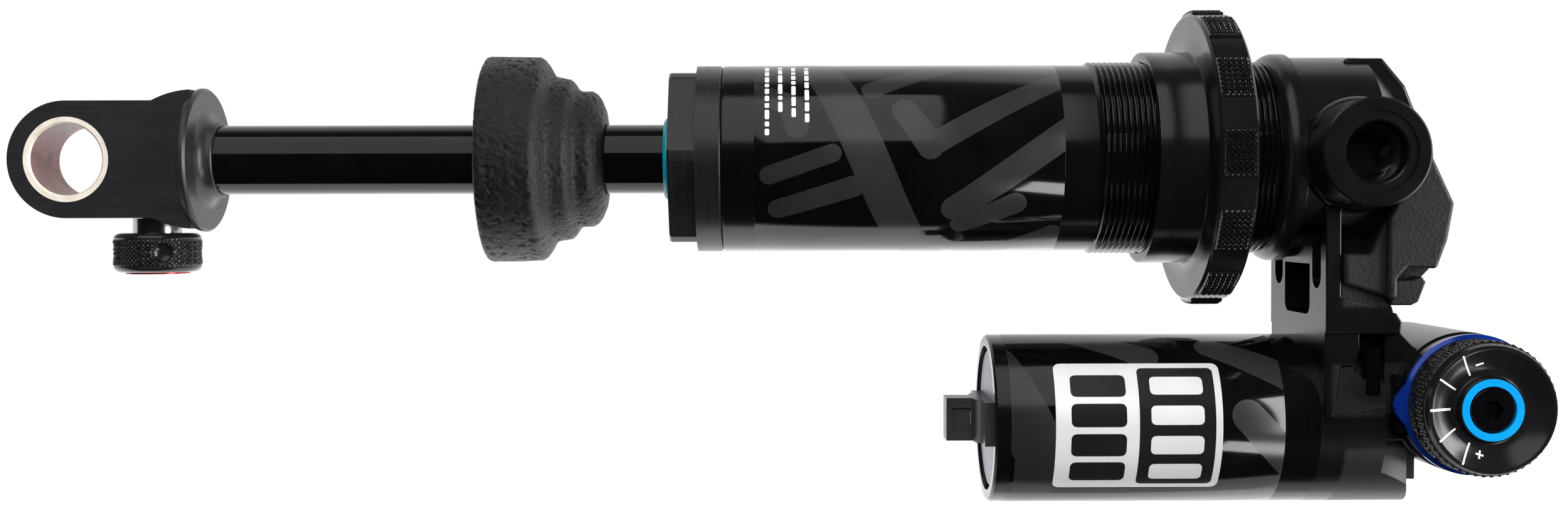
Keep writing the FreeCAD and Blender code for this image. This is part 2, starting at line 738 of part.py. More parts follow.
def seal_head():
    body = new_body("seal_head")
    turn_round(body, [
        ("seal_face", "wiper_radius"), ("wiper_seat_end", "wiper_radius"), ("wiper_seat_end", "land_bore"),
        ("rod_seal_start", "land_bore"), ("rod_seal_start", "rod_seal_radius"),
        ("rod_seal_end", "rod_seal_radius"), ("rod_seal_end", "land_bore"), ("guide_start", "land_bore"),
        ("guide_start", "guide_radius"), ("seal_spigot_end", "guide_radius"),
        ("seal_spigot_end", "damper_bore - fit_gap"), ("seal_ring_end", "damper_bore - fit_gap"),
        ("seal_ring_end", "seal_ring_seat"), ("seal_ring_start", "seal_ring_seat"),
        ("seal_ring_start", "damper_bore - fit_gap"), ("tube_start", "damper_bore - fit_gap"),
        ("tube_start", "tube_radius - tube_edge"), ("tube_start - tube_edge", "tube_radius"),
        ("seal_face + tube_edge", "tube_radius"), ("seal_face", "tube_radius - tube_edge")])
    wide = "seal_flats * tan(27)"
    flat = slab(body, "XY_Plane", box_corners("seal_face - 1", "seal_flats_end", f"-({wide})", wide),
                "2 * (tube_radius - seal_flats)", cut=True, offset="tube_radius")
    ring_of(body, flat, 6)
    return body


def seal_pieces():
    keep(seal_head())
    keep(turned("rod_wiper", [
        ("wiper_start", "shaft_radius + running_gap"), ("wiper_seat_end", "shaft_radius + running_gap"),
        ("wiper_seat_end", "wiper_radius"), ("wiper_start + 0.45", "wiper_radius"),
        ("wiper_start", "wiper_lip")]))
    keep(sleeve("rod_seal", "rod_seal_start", "rod_seal_end", "shaft_radius + running_gap",
                "rod_seal_radius"))
    keep(sleeve("rod_guide", "guide_start", "guide_end", "guide_bore", "guide_radius"))
    keep(sleeve("seal_head_ring", "seal_ring_start", "seal_ring_end", "seal_ring_seat", "damper_bore"))


# ---- damper tube and piston ----

def damper_tube():
    return turned("damper_tube", [
        ("tube_start", "damper_bore"), ("tube_end", "damper_bore"), ("tube_end", "tube_spigot"),
        ("tube_ring_end", "tube_spigot"), ("tube_ring_end", "tube_ring_seat"),
        ("tube_ring_start", "tube_ring_seat"), ("tube_ring_start", "tube_spigot"),
        ("thread_end", "tube_spigot"), ("thread_end", "thread_radius - thread_edge"),
        ("thread_end - thread_edge", "thread_radius"), ("thread_start + thread_edge", "thread_radius"),
        ("thread_start", "tube_radius"), ("tube_start + tube_edge", "tube_radius"),
        ("tube_start", "tube_radius - tube_edge")])


def main_piston():
    body = new_body("main_piston")
    turn_round(body, [
        ("piston_start", "piston_stud"), ("piston_end", "piston_stud"),
        ("piston_end", "piston_radius - 0.5"),
        ("piston_end - 0.5", "piston_radius"), ("band_end", "piston_radius"), ("band_end", "band_seat"),
        ("band_start", "band_seat"), ("band_start", "piston_radius"),
        ("piston_start + 0.5", "piston_radius"),
        ("piston_start", "piston_radius - 0.5")])
    port = drill(body, "YZ_Plane", ("port_circle", "0"), "port_radius", "2 * (piston_end - piston_start)",
                 offset="(piston_start + piston_end) / 2")
    ring_of(body, port, PISTON_PORTS)
    return body


def shim_stack(label, face, outwards):
    """Thin discs on the piston's face, each smaller than the one before."""
    discs = []
    for number in range(SHIMS):
        near = f"{face} + {outwards * number} * shim_step"
        far = f"{face} + {outwards * (number + 1)} * shim_step"
        low, high = (near, far) if outwards > 0 else (far, near)
        discs.append(sleeve(f"{label}_{number}", low, high, "piston_stud",
                            f"shim_radius - {number} * shim_shrink"))
    return group(label, discs)


def piston_pieces():
    keep(main_piston())
    keep(sleeve("piston_band", "band_start", "band_end", "band_seat", "band_radius"))
    keep(shim_stack("rebound_shims", "piston_start", -1))
    keep(shim_stack("compression_shims", "piston_end", 1))
    nut = new_body("piston_nut")
    slab(nut, "YZ_Plane", hexagon("nut_flats"), "nut_end - nut_start", cut=False, offset="nut_start",
         both=False)
    drill(nut, "YZ_Plane", ("0", "0"), "piston_stud", "4 * stud_end")
    keep(nut)
    keep(sleeve("top_out_bumper", "top_out_start", "top_out_end", "shaft_radius", "top_out_radius"))


# ---- trunnion head, one forging ----

def head_chin():
    """The rounded end below the arm, no wider than the reservoir."""
    corners = corners_of("chin")
    bends = {1: "-chin_side_bend", 2: "-chin_end_bend", 3: "-chin_end_bend", 4: "-chin_side_bend"}
    chin = new_body("head_chin_block")
    slab(chin, "XY_Plane", [corner + ((bends[number],) if number in bends else ())
                            for number, corner in enumerate(corners)], "chin_height", offset="chin_middle")
    limit = rod("head_chin_limit", "reservoir_shoulder", "dial_x", "reservoir_radius",
                base=("0", "0", "-reservoir_drop"))
    inside = doc.addObject("Part::MultiCommon", "head_chin")
    inside.Shapes = [chin, limit]
    return inside


def head_solids():
    barrel = turned("head_barrel", [
        ("head_start", "0"), ("head_start", "thread_radius - 0.2"),
        ("head_start + 0.3", "thread_radius + 0.3", "2.4"), ("head_collar_start", "head_collar"),
        ("head_collar_end", "head_collar"), ("head_collar_end + head_step", "head_radius"),
        ("head_cone_start", "head_radius"), ("head_cone_end", "head_cone_radius"), ("head_cone_end", "0")])
    boss = turned("head_bosses", [
        ("-trunnion_half_width", "0"), ("trunnion_half_width", "0"),
        ("trunnion_half_width", "boss_radius - boss_edge"), ("trunnion_half_width - boss_edge",
                                                             "boss_radius"),
        ("boss_root + 1.2", "boss_radius", "-2.5"), ("boss_root - 0.6", "boss_root_radius"),
        ("-boss_root + 0.6", "boss_root_radius", "-2.5"), ("-boss_root - 1.2", "boss_radius"),
        ("-trunnion_half_width + boss_edge", "boss_radius"), ("-trunnion_half_width",
                                                              "boss_radius - boss_edge")],
        AXIS_BACK, ("eye_to_trunnion", "0", "0"))
    forged = [prism(name, "forging_round") for name in ("rib", "block", "shelf")]
    machined = [prism(name, "machined_round") for name in (
        "hook", "strip", "foot", "post", "arm", "arm_band", "arm_underside")]
    inner = [prism(name) for name in ("web", "core", "ledge", "neck")]
    socket = rod("head_socket_body", "reservoir_shoulder", "231", "reservoir_radius",
                 base=("0", "0", "-reservoir_drop"))
    boss_dial = rod("head_dial_boss", "-boss_dial_back", "base_face", "boss_dial_radius", AXIS_OUT,
                    ("dial_x", "0", "dial_z"))
    return [barrel, boss, *forged, *machined, *inner, socket, boss_dial, head_chin()]


def damper_head():
    body = joined("head_solid", head_solids())
    tools = [turned("head_bore_tool", [
        ("head_start - 2", "0"), ("head_bore_end", "0"), ("head_bore_end", "damper_bore"),
        ("tube_end + 0.1", "damper_bore"), ("tube_end + 0.1", "head_socket"),
        ("head_start - 2", "head_socket")])]
    for number, turn in enumerate((AXIS_OUT, AXIS_BACK)):
        tools.append(turned(f"head_trunnion_tool_{number}", [
            ("boss_floor", "0"), ("trunnion_half_width + 1", "0"),
            ("trunnion_half_width + 1", "boss_step_radius"),
            ("trunnion_half_width - boss_step", "boss_step_radius"),
            ("trunnion_half_width - boss_step", "boss_mouth + 0.3"),
            ("trunnion_half_width - boss_step - 0.3", "boss_mouth"),
            ("trunnion_half_width - boss_mouth_depth", "boss_mouth"),
            ("trunnion_half_width - boss_mouth_depth - 0.6", "boss_thread"), ("boss_floor", "boss_thread")],
            turn, ("eye_to_trunnion", "0", "0")))
    tools.append(rod("head_reservoir_tool", "reservoir_shoulder - 5", "reservoir_end", "reservoir_spigot",
                     base=("0", "0", "-reservoir_drop")))
    tools.append(rod("head_port_tool", "-bridge_port_top", "-bridge_port_level + port_bore", "port_bore",
                     AXIS_DOWN, ("port_station", "0", "0")))
    tools.append(rod("head_port_entry_tool", "head_bore_end - 1", "port_station", "port_bore",
                     base=("0", "0", "bridge_port_top - port_bore")))
    tools.append(rod("head_cross_tool", "port_station", "dial_x", "port_bore",
                     base=("0", "0", "bridge_port_level")))
    tools.append(rod("head_return_tool", "reservoir_end - 1", "dial_x", "port_bore",
                     base=("0", "0", "-reservoir_drop")))
    tools.append(rod("head_valve_tool", "-valve_body_back", "base_face + 1", "valve_body_radius", AXIS_OUT,
                     ("dial_x", "0", "dial_z")))
    tools.append(rod("head_index_tool", "base_face", "hsc_start", "index_lug_reach + 1.1", AXIS_OUT,
                     ("dial_x", "0", "dial_z")))
    tools.append(rod("head_plug_tool", "-plug_top", "-plug_foot", "plug_radius", AXIS_DOWN,
                     ("plug_station", "plug_side", "0")))
    tools.append(head_slots())
    return cut_from("damper_head", body, tools)


def head_slots():
    """The window and the two slots in the bridge's face."""
    body = new_body("head_slot_tool")
    depth = "2 * slot_depth"
    window = [("-window_half_width", "slot_open"), ("-window_half_width", "window_bottom + slot_round",
                                                    "-slot_round"),
              ("-window_half_width + slot_round", "window_bottom"),
              ("window_half_width - slot_round", "window_bottom", "-slot_round"),
              ("window_half_width", "window_bottom + slot_round"), ("window_half_width", "slot_open")]
    slab(body, "YZ_Plane", window, depth, offset="bridge_face")
    for side in (1, -1):
        inner, outer = f"{side} * slot_inner", f"{side} * slot_outer"
        middle = f"{side} * (slot_inner + slot_outer) / 2"
        low = "slot_bottom + (slot_outer - slot_inner) / 2"
        slab(body, "YZ_Plane", [(inner, "slot_top"), (inner, low), (outer, low), (outer, "slot_top")], depth,
             offset="bridge_face")
        drill(body, "YZ_Plane", (middle, low), "(slot_outer - slot_inner) / 2", depth, cut=False,
              offset="bridge_face")
    return body


# ---- reservoir ----

def reservoir_pieces():
    drop = ("0", "0", "-reservoir_drop")
    keep(turned("reservoir_tube", [
        ("reservoir_start", "reservoir_bore"), ("clip_start", "reservoir_bore"),
        ("clip_start", "clip_radius"),
        ("clip_end", "clip_radius"), ("clip_end", "reservoir_bore"), ("reservoir_end", "reservoir_bore"),
        ("reservoir_end", "reservoir_spigot"), ("reservoir_ring_end", "reservoir_spigot"),
        ("reservoir_ring_end", "reservoir_ring_seat"), ("reservoir_ring_start", "reservoir_ring_seat"),
        ("reservoir_ring_start", "reservoir_spigot"), ("reservoir_shoulder", "reservoir_spigot"),
        ("reservoir_shoulder", "reservoir_radius"), ("reservoir_start + reservoir_edge", "reservoir_radius"),
        ("reservoir_start", "reservoir_radius - reservoir_edge")], base=drop))
    keep(sleeve("reservoir_ring", "reservoir_ring_start", "reservoir_ring_end", "reservoir_ring_seat",
                "reservoir_spigot", base=drop))
    keep(sleeve("tube_ring", "tube_ring_start", "tube_ring_end", "tube_ring_seat", "tube_spigot"))
    keep(turned("reservoir_cap", [
        ("cap_face", "valve_shoulder + 0.1"), ("valve_seat", "valve_shoulder + 0.1"),
        ("valve_seat", "valve_bore"),
        ("cap_end", "valve_bore"), ("cap_end", "cap_flange"), ("cap_ring_end", "cap_flange"),
        ("cap_ring_end", "cap_ring_seat"), ("cap_ring_start", "cap_ring_seat"),
        ("cap_ring_start", "cap_flange"),
        ("cap_flange_start", "cap_flange"), ("cap_flange_start", "cap_radius"),
        ("cap_face + 0.2", "cap_radius"),
        ("cap_face", "cap_radius - 0.2")], base=drop))
    keep(sleeve("reservoir_cap_ring", "cap_ring_start", "cap_ring_end", "cap_ring_seat", "reservoir_bore",
                base=drop))
    clip = new_body("retaining_clip", base=drop)
    turn_round(clip, [("clip_start", "clip_bore"), ("clip_end", "clip_bore"), ("clip_end", "clip_radius"),
                      ("clip_start", "clip_radius")])
    slab(clip, "XZ_Plane", box_corners("clip_start - 1", "clip_end + 1", "0", "clip_radius + 1"), "6",
         cut=True)
    keep(clip)
    keep(turned("charge_valve", [
        ("valve_tip", "0"), ("valve_end", "0"), ("valve_end", "valve_radius"),
        ("valve_seat", "valve_radius"),
        ("valve_seat", "valve_shoulder"), ("valve_seat - 1.6", "valve_shoulder"),
        ("valve_seat - 1.6", "valve_radius"), ("valve_tip", "valve_radius")], base=drop))
    keep(valve_cover(drop))
    keep(turned("floating_piston", [
        ("piston_ifp_start", "0"), ("piston_ifp_end - ifp_dish_depth", "0"),
        ("piston_ifp_end - ifp_dish_depth", "ifp_dish"), ("piston_ifp_end", "ifp_dish"),
        ("piston_ifp_end", "ifp_radius"), ("ifp_ring_end", "ifp_radius"), ("ifp_ring_end", "ifp_ring_seat"),
        ("ifp_ring_start", "ifp_ring_seat"), ("ifp_ring_start", "ifp_radius"),
        ("piston_ifp_start", "ifp_radius")], base=drop))
    keep(sleeve("floating_piston_ring", "ifp_ring_start", "ifp_ring_end", "ifp_ring_seat",
                "reservoir_bore - fit_gap", base=drop))


def valve_cover(drop):
    body = new_body("valve_cover", base=drop)
    wide, foot = "cover_half_width", "cover_foot_half_width"
    slab(body, "XY_Plane", [
        ("cover_tip", f"-{wide}"), ("cover_flare", f"-{wide}", "-cover_flare_radius"),
        ("cover_foot", f"-{foot} + 4"), ("cover_foot", f"-{foot}"), ("cap_face", f"-{foot}"),
        ("cap_face", foot), ("cover_foot", foot), ("cover_foot", f"{foot} - 4", "-cover_flare_radius"),
        ("cover_flare", wide), ("cover_tip", wide)], "2 * cover_half_height")
    slab(body, "XZ_Plane", box_corners("cover_pocket_start", "cover_pocket_end", "-cover_pocket_half_height",
                                       "cover_pocket_half_height"),
         "2 * cover_pocket_depth", cut=True, offset="cover_half_width")
    slab(body, "XZ_Plane", box_corners("cover_pocket_start", "cover_pocket_end", "-cover_pocket_half_height",
                                       "cover_pocket_half_height"),
         "2 * cover_pocket_depth", cut=True, offset="-cover_half_width")
    turn_round(body, [("valve_tip - 0.3", "0"), ("cover_bore_depth", "0"),
                      ("cover_bore_depth", "valve_radius + 0.1"), ("valve_tip - 0.3", "valve_radius + 0.1")],
               cut=True)
    return body


# ---- spring preload collar ----

def preload_collar():
    body = new_body("preload_collar")
    edge = "collar_edge"
    turn_round(body, [
        ("collar_start", "insert_bore + 0.02"), ("insert_start - 0.05", "insert_bore + 0.02"),
        ("insert_start - 0.05", "insert_radius + running_gap"), ("insert_end + 0.05",
         "insert_radius + running_gap"), ("insert_end + 0.05", "insert_bore + 0.02"),
        ("collar_end", "insert_bore + 0.02"), ("collar_end", f"collar_ring - {edge}"),
        (f"collar_end - {edge}", "collar_ring"), (f"collar_face + {edge}", "collar_ring"),
        ("collar_face", f"collar_ring - {edge}"), ("collar_face", "collar_sleeve"),
        (f"collar_start + {edge}", "collar_sleeve"), ("collar_start", f"collar_sleeve - {edge}")])
    half = "collar_pad_half_angle"
    pad = slab(body, "YZ_Plane", [
        (f"-(collar_ring - 1) * cos({half})", f"-(collar_ring - 1) * sin({half})"),
        (f"-(collar_ring - 1) * cos({half})", f"(collar_ring - 1) * sin({half})"),
        (f"-collar_pad * cos({half})", f"collar_pad * sin({half})", "-collar_pad"),
        (f"-collar_pad * cos({half})", f"-collar_pad * sin({half})")],
        "collar_end - collar_face - 2 * collar_pad_inset", offset="collar_face + collar_pad_inset",
        both=False)
    ring_of(body, pad, int(value("collar_pads")))
    return body


# ---- compression adjusters: their own +X points out of the dials ----

def dial_place():
    return AXIS_OUT, ("dial_x", "0", "dial_z")


def compression_pieces():
    turn, base = dial_place()
    housing = new_body("adjuster_housing", turn, base)
    turn_round(housing, [
        ("-valve_body_back", "valve_body_radius - 1.2"), ("valve_pocket_floor", "valve_body_radius - 1.2"),
        ("valve_pocket_floor", "hsc_bore + 0.1"), ("index_end - 0.4", "hsc_bore + 0.1"),
        ("index_end - 0.4", "base_radius - 1.4"), ("base_face + 0.02", "base_radius - 1.4"),
        ("base_face + 0.02", "valve_body_radius - fit_gap"), ("-valve_body_back",
                                                              "valve_body_radius - fit_gap")])
    window = drill(housing, "XY_Plane", ("-valve_body_back + 3.2", "0"), "port_bore", "4",
                   offset="valve_body_radius")
    ring_of(housing, window, 4)
    for side in ("click_circle", "-click_circle"):
        drill(housing, "YZ_Plane", ("0", side), "click_bore", "2 * click_depth", offset="index_end - 0.4")
    keep(housing)
    keep(adjuster_index(turn, base))
    keep(hsc_knob(turn, base))
    keep(hsc_ring(turn, base))
    keep(turned("hsc_stem", [
        ("-hsc_stem_back", "hsc_stem_bore"), ("hsc_end - 0.5", "hsc_stem_bore"),
        ("hsc_end - 0.5", "hsc_bore - 0.5"),
        ("hsc_start", "hsc_bore - 0.5"), ("hsc_start", "hsc_bore"), ("0.7", "hsc_bore"),
        ("0.7", "hsc_bore - 0.4"), ("-hsc_stem_back", "hsc_bore - 0.4")], turn, base))
    keep(lsc_knob(turn, base))
    keep(sleeve("lsc_ring", "lsc_hub_face - lsc_ring_depth", "lsc_hub_face + 0.15", "lsc_ring_bore",
                "lsc_ring_radius", turn, base))
    screw = new_body("lsc_screw", turn, base)
    turn_round(screw, [
        ("lsc_screw_end", "0"), ("lsc_screw_face", "0"), ("lsc_screw_face", "lsc_screw_radius - 0.15"),
        ("lsc_screw_face - 0.15", "lsc_screw_radius"), ("lsc_screw_seat", "lsc_screw_radius"),
        ("lsc_screw_seat", "lsc_screw_thread"), ("lsc_screw_end", "lsc_screw_thread")])
    slab(screw, "YZ_Plane", hexagon("hex_socket"), "hex_socket_depth", cut=True, offset="lsc_screw_face",
         both=False)
    keep(screw)
    keep(turned("lsc_needle", [
        ("-valve_body_back + 1.5", "0"), ("lsc_screw_end - 0.5", "0"),
        ("lsc_screw_end - 0.5", "lsc_screw_thread"),
        ("lsc_start - running_gap", "lsc_screw_thread"), ("lsc_start - running_gap", "needle_radius"),
        ("-needle_back", "needle_radius"), ("-valve_body_back + 1.5", "needle_tip")], turn, base))
    balls, springs = [], []
    for number, side in enumerate(("dial_z + click_circle", "dial_z - click_circle")):
        ball = doc.addObject("Part::Sphere", f"click_ball_{number}")
        ball.setExpression("Radius", formula("click_ball"))
        ball.setExpression("Placement.Base.x", formula("dial_x"))
        ball.setExpression("Placement.Base.y", formula("-(index_end - 0.4) + click_ball - 0.3"))
        ball.setExpression("Placement.Base.z", formula(side))
        balls.append(ball)
        springs.append(sleeve(f"click_spring_{number}", "index_end - 0.4 - click_depth", "index_end - 1.9",
                              "click_ball - 0.35", "click_ball", turn, ("dial_x", "0", side)))
    keep(group("click_balls", balls))
    keep(group("click_springs", springs))
    valve = new_body("base_valve", turn, base)
    turn_round(valve, [
        ("-valve_piston_back", "hsc_bore - 0.3"), ("-valve_piston_front", "hsc_bore - 0.3"),
        ("-valve_piston_front", "valve_piston_radius"), ("-valve_piston_back", "valve_piston_radius")])
    port = drill(valve, "YZ_Plane", ("5.2", "0"), "0.9", "4 * valve_piston_back")
    ring_of(valve, port, PISTON_PORTS)
    keep(valve)
    discs = []
    for number in range(SHIMS):
        discs.append(sleeve(f"base_shim_{number}", f"-valve_piston_front + {number} * shim_step",
                            f"-valve_piston_front + {number + 1} * shim_step", "hsc_bore - 0.3",
                            f"valve_shim_radius - {number} * 0.9", turn, base))
    keep(group("base_valve_shims", discs))


def adjuster_index(turn, base):
    body = new_body("adjuster_index", turn, base)
    turn_round(body, [
        ("base_face", "base_radius - 1.3"), ("index_end", "base_radius - 1.3"),
        ("index_end", "index_radius - 0.3"),
        ("index_end - 0.3", "index_radius"), ("base_face", "index_radius")])
    slab(body, "YZ_Plane", box_corners("-index_lug_reach", "-base_radius", "-index_lug_half",
                                       "index_lug_half"),
         "index_end - base_face - 0.2", offset="base_face", both=False)
    return body


def hsc_knob(turn, base):
    body = new_body("hsc_knob", turn, base)
    turn_round(body, [
        ("hsc_start", "hsc_bore - 0.48"), ("hsc_end", "hsc_bore - 0.48"), ("hsc_end", "hsc_radius - 0.5"),
        ("hsc_end - 0.5", "hsc_radius"), ("hsc_ring_end", "hsc_radius"), ("hsc_ring_end", "hsc_ring_seat"),
        ("hsc_start + 0.1", "hsc_ring_seat"), ("hsc_start + 0.1", "click_circle + 1.4"),
        ("hsc_start + 0.5", "click_circle + 1.4"), ("hsc_start + 0.5", "click_circle - 1.4"),
        ("hsc_start", "click_circle - 1.4")])
    return body


def hsc_ring(turn, base):
    body = new_body("hsc_ring", turn, base)
    turn_round(body, [
        ("hsc_start + 0.1", "hsc_ring_seat"), ("hsc_ring_end", "hsc_ring_seat"),
        ("hsc_ring_end", "hsc_radius"),
        ("hsc_ring_end - 0.4", "hsc_ring_radius"), ("hsc_start + 0.1", "hsc_ring_radius")])
    tip = [("-hsc_ring_radius + 0.5", "-3.6"), ("-hsc_ring_radius + 0.5", "3.6"),
           ("-hsc_pointer_reach + 0.4",
           "hsc_pointer_half"), ("-hsc_pointer_reach", "0"), ("-hsc_pointer_reach + 0.4",
                                                              "-hsc_pointer_half")]
    slab(body, "YZ_Plane", tip, "hsc_ring_end - hsc_start - 0.5", offset="hsc_start + 0.1", both=False)
    return body


def lsc_knob(turn, base):
    return turned("lsc_knob", [
        ("lsc_start", "lsc_screw_thread + 0.1"), ("lsc_screw_seat", "lsc_screw_thread + 0.1"),
        ("lsc_screw_seat", "lsc_screw_radius + 0.05"), ("lsc_hub_face - lsc_ring_depth",
         "lsc_screw_radius + 0.05"), ("lsc_hub_face - lsc_ring_depth", "lsc_ring_radius"),
        ("lsc_hub_face", "lsc_ring_radius"), ("lsc_hub_face", "lsc_hub_radius"),
        ("lsc_face - lsc_dish_depth", "lsc_hub_radius + 0.9", "-5"), ("lsc_face", "lsc_dish_radius"),
        ("lsc_face", "lsc_rim_radius - 0.1"), ("lsc_face - 0.1", "lsc_rim_radius"),
        ("lsc_knurl_end", "lsc_knurl_radius"), ("lsc_start + 0.4", "lsc_knurl_radius"),
        ("lsc_start", "lsc_knurl_radius - 0.4")], turn, base)


# ---- the whole shock ----

keep(eyelet_end())
keep(eyelet_bushing())
keep(shaft())
rebound_pieces()
keep(bump_stop())
seal_pieces()
keep(damper_tube())
piston_pieces()
keep(damper_head())
keep(rod("bridge_plug", "-plug_top", "-plug_foot", "plug_radius", AXIS_DOWN,
         ("plug_station", "plug_side", "0")))
reservoir_pieces()
keep(preload_collar())
keep(sleeve("collar_insert", "insert_start", "insert_end", "insert_bore", "insert_radius"))
compression_pieces()

doc.recompute()
os.makedirs("parts", exist_ok=True)
for piece in pieces:
    shape = piece.Shape
    if {"Invalid", "Error"} & set(piece.State) or shape.isNull() or not shape.isValid():
        raise RuntimeError(f"{piece.Label} isn't sound")
    shape.exportStep(os.path.join("parts", piece.Label + ".step"))
print(len(pieces), "pieces")
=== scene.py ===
import json
import math
import random

import bmesh
import bpy
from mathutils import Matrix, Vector, noise


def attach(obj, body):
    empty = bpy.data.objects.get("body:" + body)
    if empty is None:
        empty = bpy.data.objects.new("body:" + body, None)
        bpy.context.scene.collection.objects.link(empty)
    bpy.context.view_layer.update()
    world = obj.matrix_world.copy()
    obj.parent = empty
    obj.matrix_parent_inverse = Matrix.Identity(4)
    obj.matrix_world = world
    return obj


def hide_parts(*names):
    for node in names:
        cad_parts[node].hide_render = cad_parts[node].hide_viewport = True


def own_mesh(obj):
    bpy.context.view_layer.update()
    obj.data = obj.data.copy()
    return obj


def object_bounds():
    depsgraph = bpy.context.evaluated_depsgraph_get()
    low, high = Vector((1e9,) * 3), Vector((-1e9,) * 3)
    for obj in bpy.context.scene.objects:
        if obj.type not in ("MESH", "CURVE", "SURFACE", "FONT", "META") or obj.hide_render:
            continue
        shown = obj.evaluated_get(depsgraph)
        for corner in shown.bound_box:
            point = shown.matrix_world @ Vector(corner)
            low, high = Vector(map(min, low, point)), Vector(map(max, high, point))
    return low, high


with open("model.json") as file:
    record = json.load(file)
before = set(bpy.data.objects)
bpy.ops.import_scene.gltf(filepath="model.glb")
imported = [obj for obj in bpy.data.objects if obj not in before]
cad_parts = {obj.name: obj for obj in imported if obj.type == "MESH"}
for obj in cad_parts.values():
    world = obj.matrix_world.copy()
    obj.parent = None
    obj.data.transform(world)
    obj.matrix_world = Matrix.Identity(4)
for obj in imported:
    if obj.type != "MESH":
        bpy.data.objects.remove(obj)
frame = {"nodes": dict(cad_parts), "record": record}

CAD_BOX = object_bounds()
MM = 0.001
TURN = 2 * math.pi
NODES = frame["nodes"]
SLOT_OF = {part["node"]: part["material_slot"] for part in frame["record"]["subparts"]}

# Places and sizes on the shock, in millimetres. X runs from the eyelet's bore to the trunnion and on.
RESERVOIR_Z = -47.0
DIAL_X, DIAL_Z = 244.8, -42.9
REBOUND_X = 13.8
TRUNNION_X = 225.0
TUBE_START, TUBE_END = 116.2, 220.7
TUBE_RADIUS, TUBE_BORE, TUBE_SPIGOT = 16.65, 14.0, 16.1
THREAD_START, THREAD_END, THREAD_RADIUS, THREAD_DEPTH, THREAD_PITCH = 181.1, 212.3, 17.2, 0.62, 1.0
COLLAR_START, COLLAR_FACE, COLLAR_END = 191.0, 199.4, 206.0
COLLAR_BORE, COLLAR_SLEEVE, COLLAR_RING, COLLAR_PAD = 17.3, 18.95, 25.7, 26.45
RESERVOIR_RADIUS = 15.05
TUBE_FILM_START, TUBE_FILM_END = 121.9, 175.2
RESERVOIR_FILM_START, RESERVOIR_FILM_END = 166.2, 213.6
BUMP_STOP_START = 73.95
DIAL_RADIUS = 11.5
BOSS_THREAD_WALL, BOSS_THREAD_CREST, BOSS_THREAD_OUTER = 4.52, 4.45, 22.9
BOSS_THREAD_DEPTH, BOSS_THREAD_PITCH = 0.42, 1.0

# How finely the turned pieces are divided: points round a turn, and the spacing of rows in millimetres
ROUND, KNURLED_ROUND = 144, 384
DIAL_ROUND = 420
THREAD_ROW, KNURL_ROW = 0.125, 0.12


# ---- places: (along the axis, radius, angle) to a point in metres ----

def on_tube(along, radius, angle):
    """Angle 0 faces -Y and grows upwards."""
    return Vector((along, -radius * math.cos(angle), radius * math.sin(angle))) * MM


def on_reservoir(along, radius, angle):
    """As on_tube, about the reservoir's axis."""
    return Vector((along, -radius * math.cos(angle), RESERVOIR_Z + radius * math.sin(angle))) * MM


def on_dials(along, radius, angle):
    """About the compression dials' axis; along grows towards -Y."""
    return Vector((DIAL_X + radius * math.cos(angle), -along, DIAL_Z + radius * math.sin(angle))) * MM


def on_rebound(along, radius, angle):
    """About the rebound knob's axis; along grows downwards."""
    return Vector((REBOUND_X + radius * math.cos(angle), radius * math.sin(angle), -along)) * MM


def on_near_boss(along, radius, angle):
    """About the trunnion's axis; along grows towards -Y."""
    return Vector((TRUNNION_X + radius * math.cos(angle), -along, radius * math.sin(angle))) * MM


def on_far_boss(along, radius, angle):
    """About the trunnion's axis; along grows towards +Y."""
    return Vector((TRUNNION_X + radius * math.cos(angle), along, radius * math.sin(angle))) * MM


# ---- materials ----

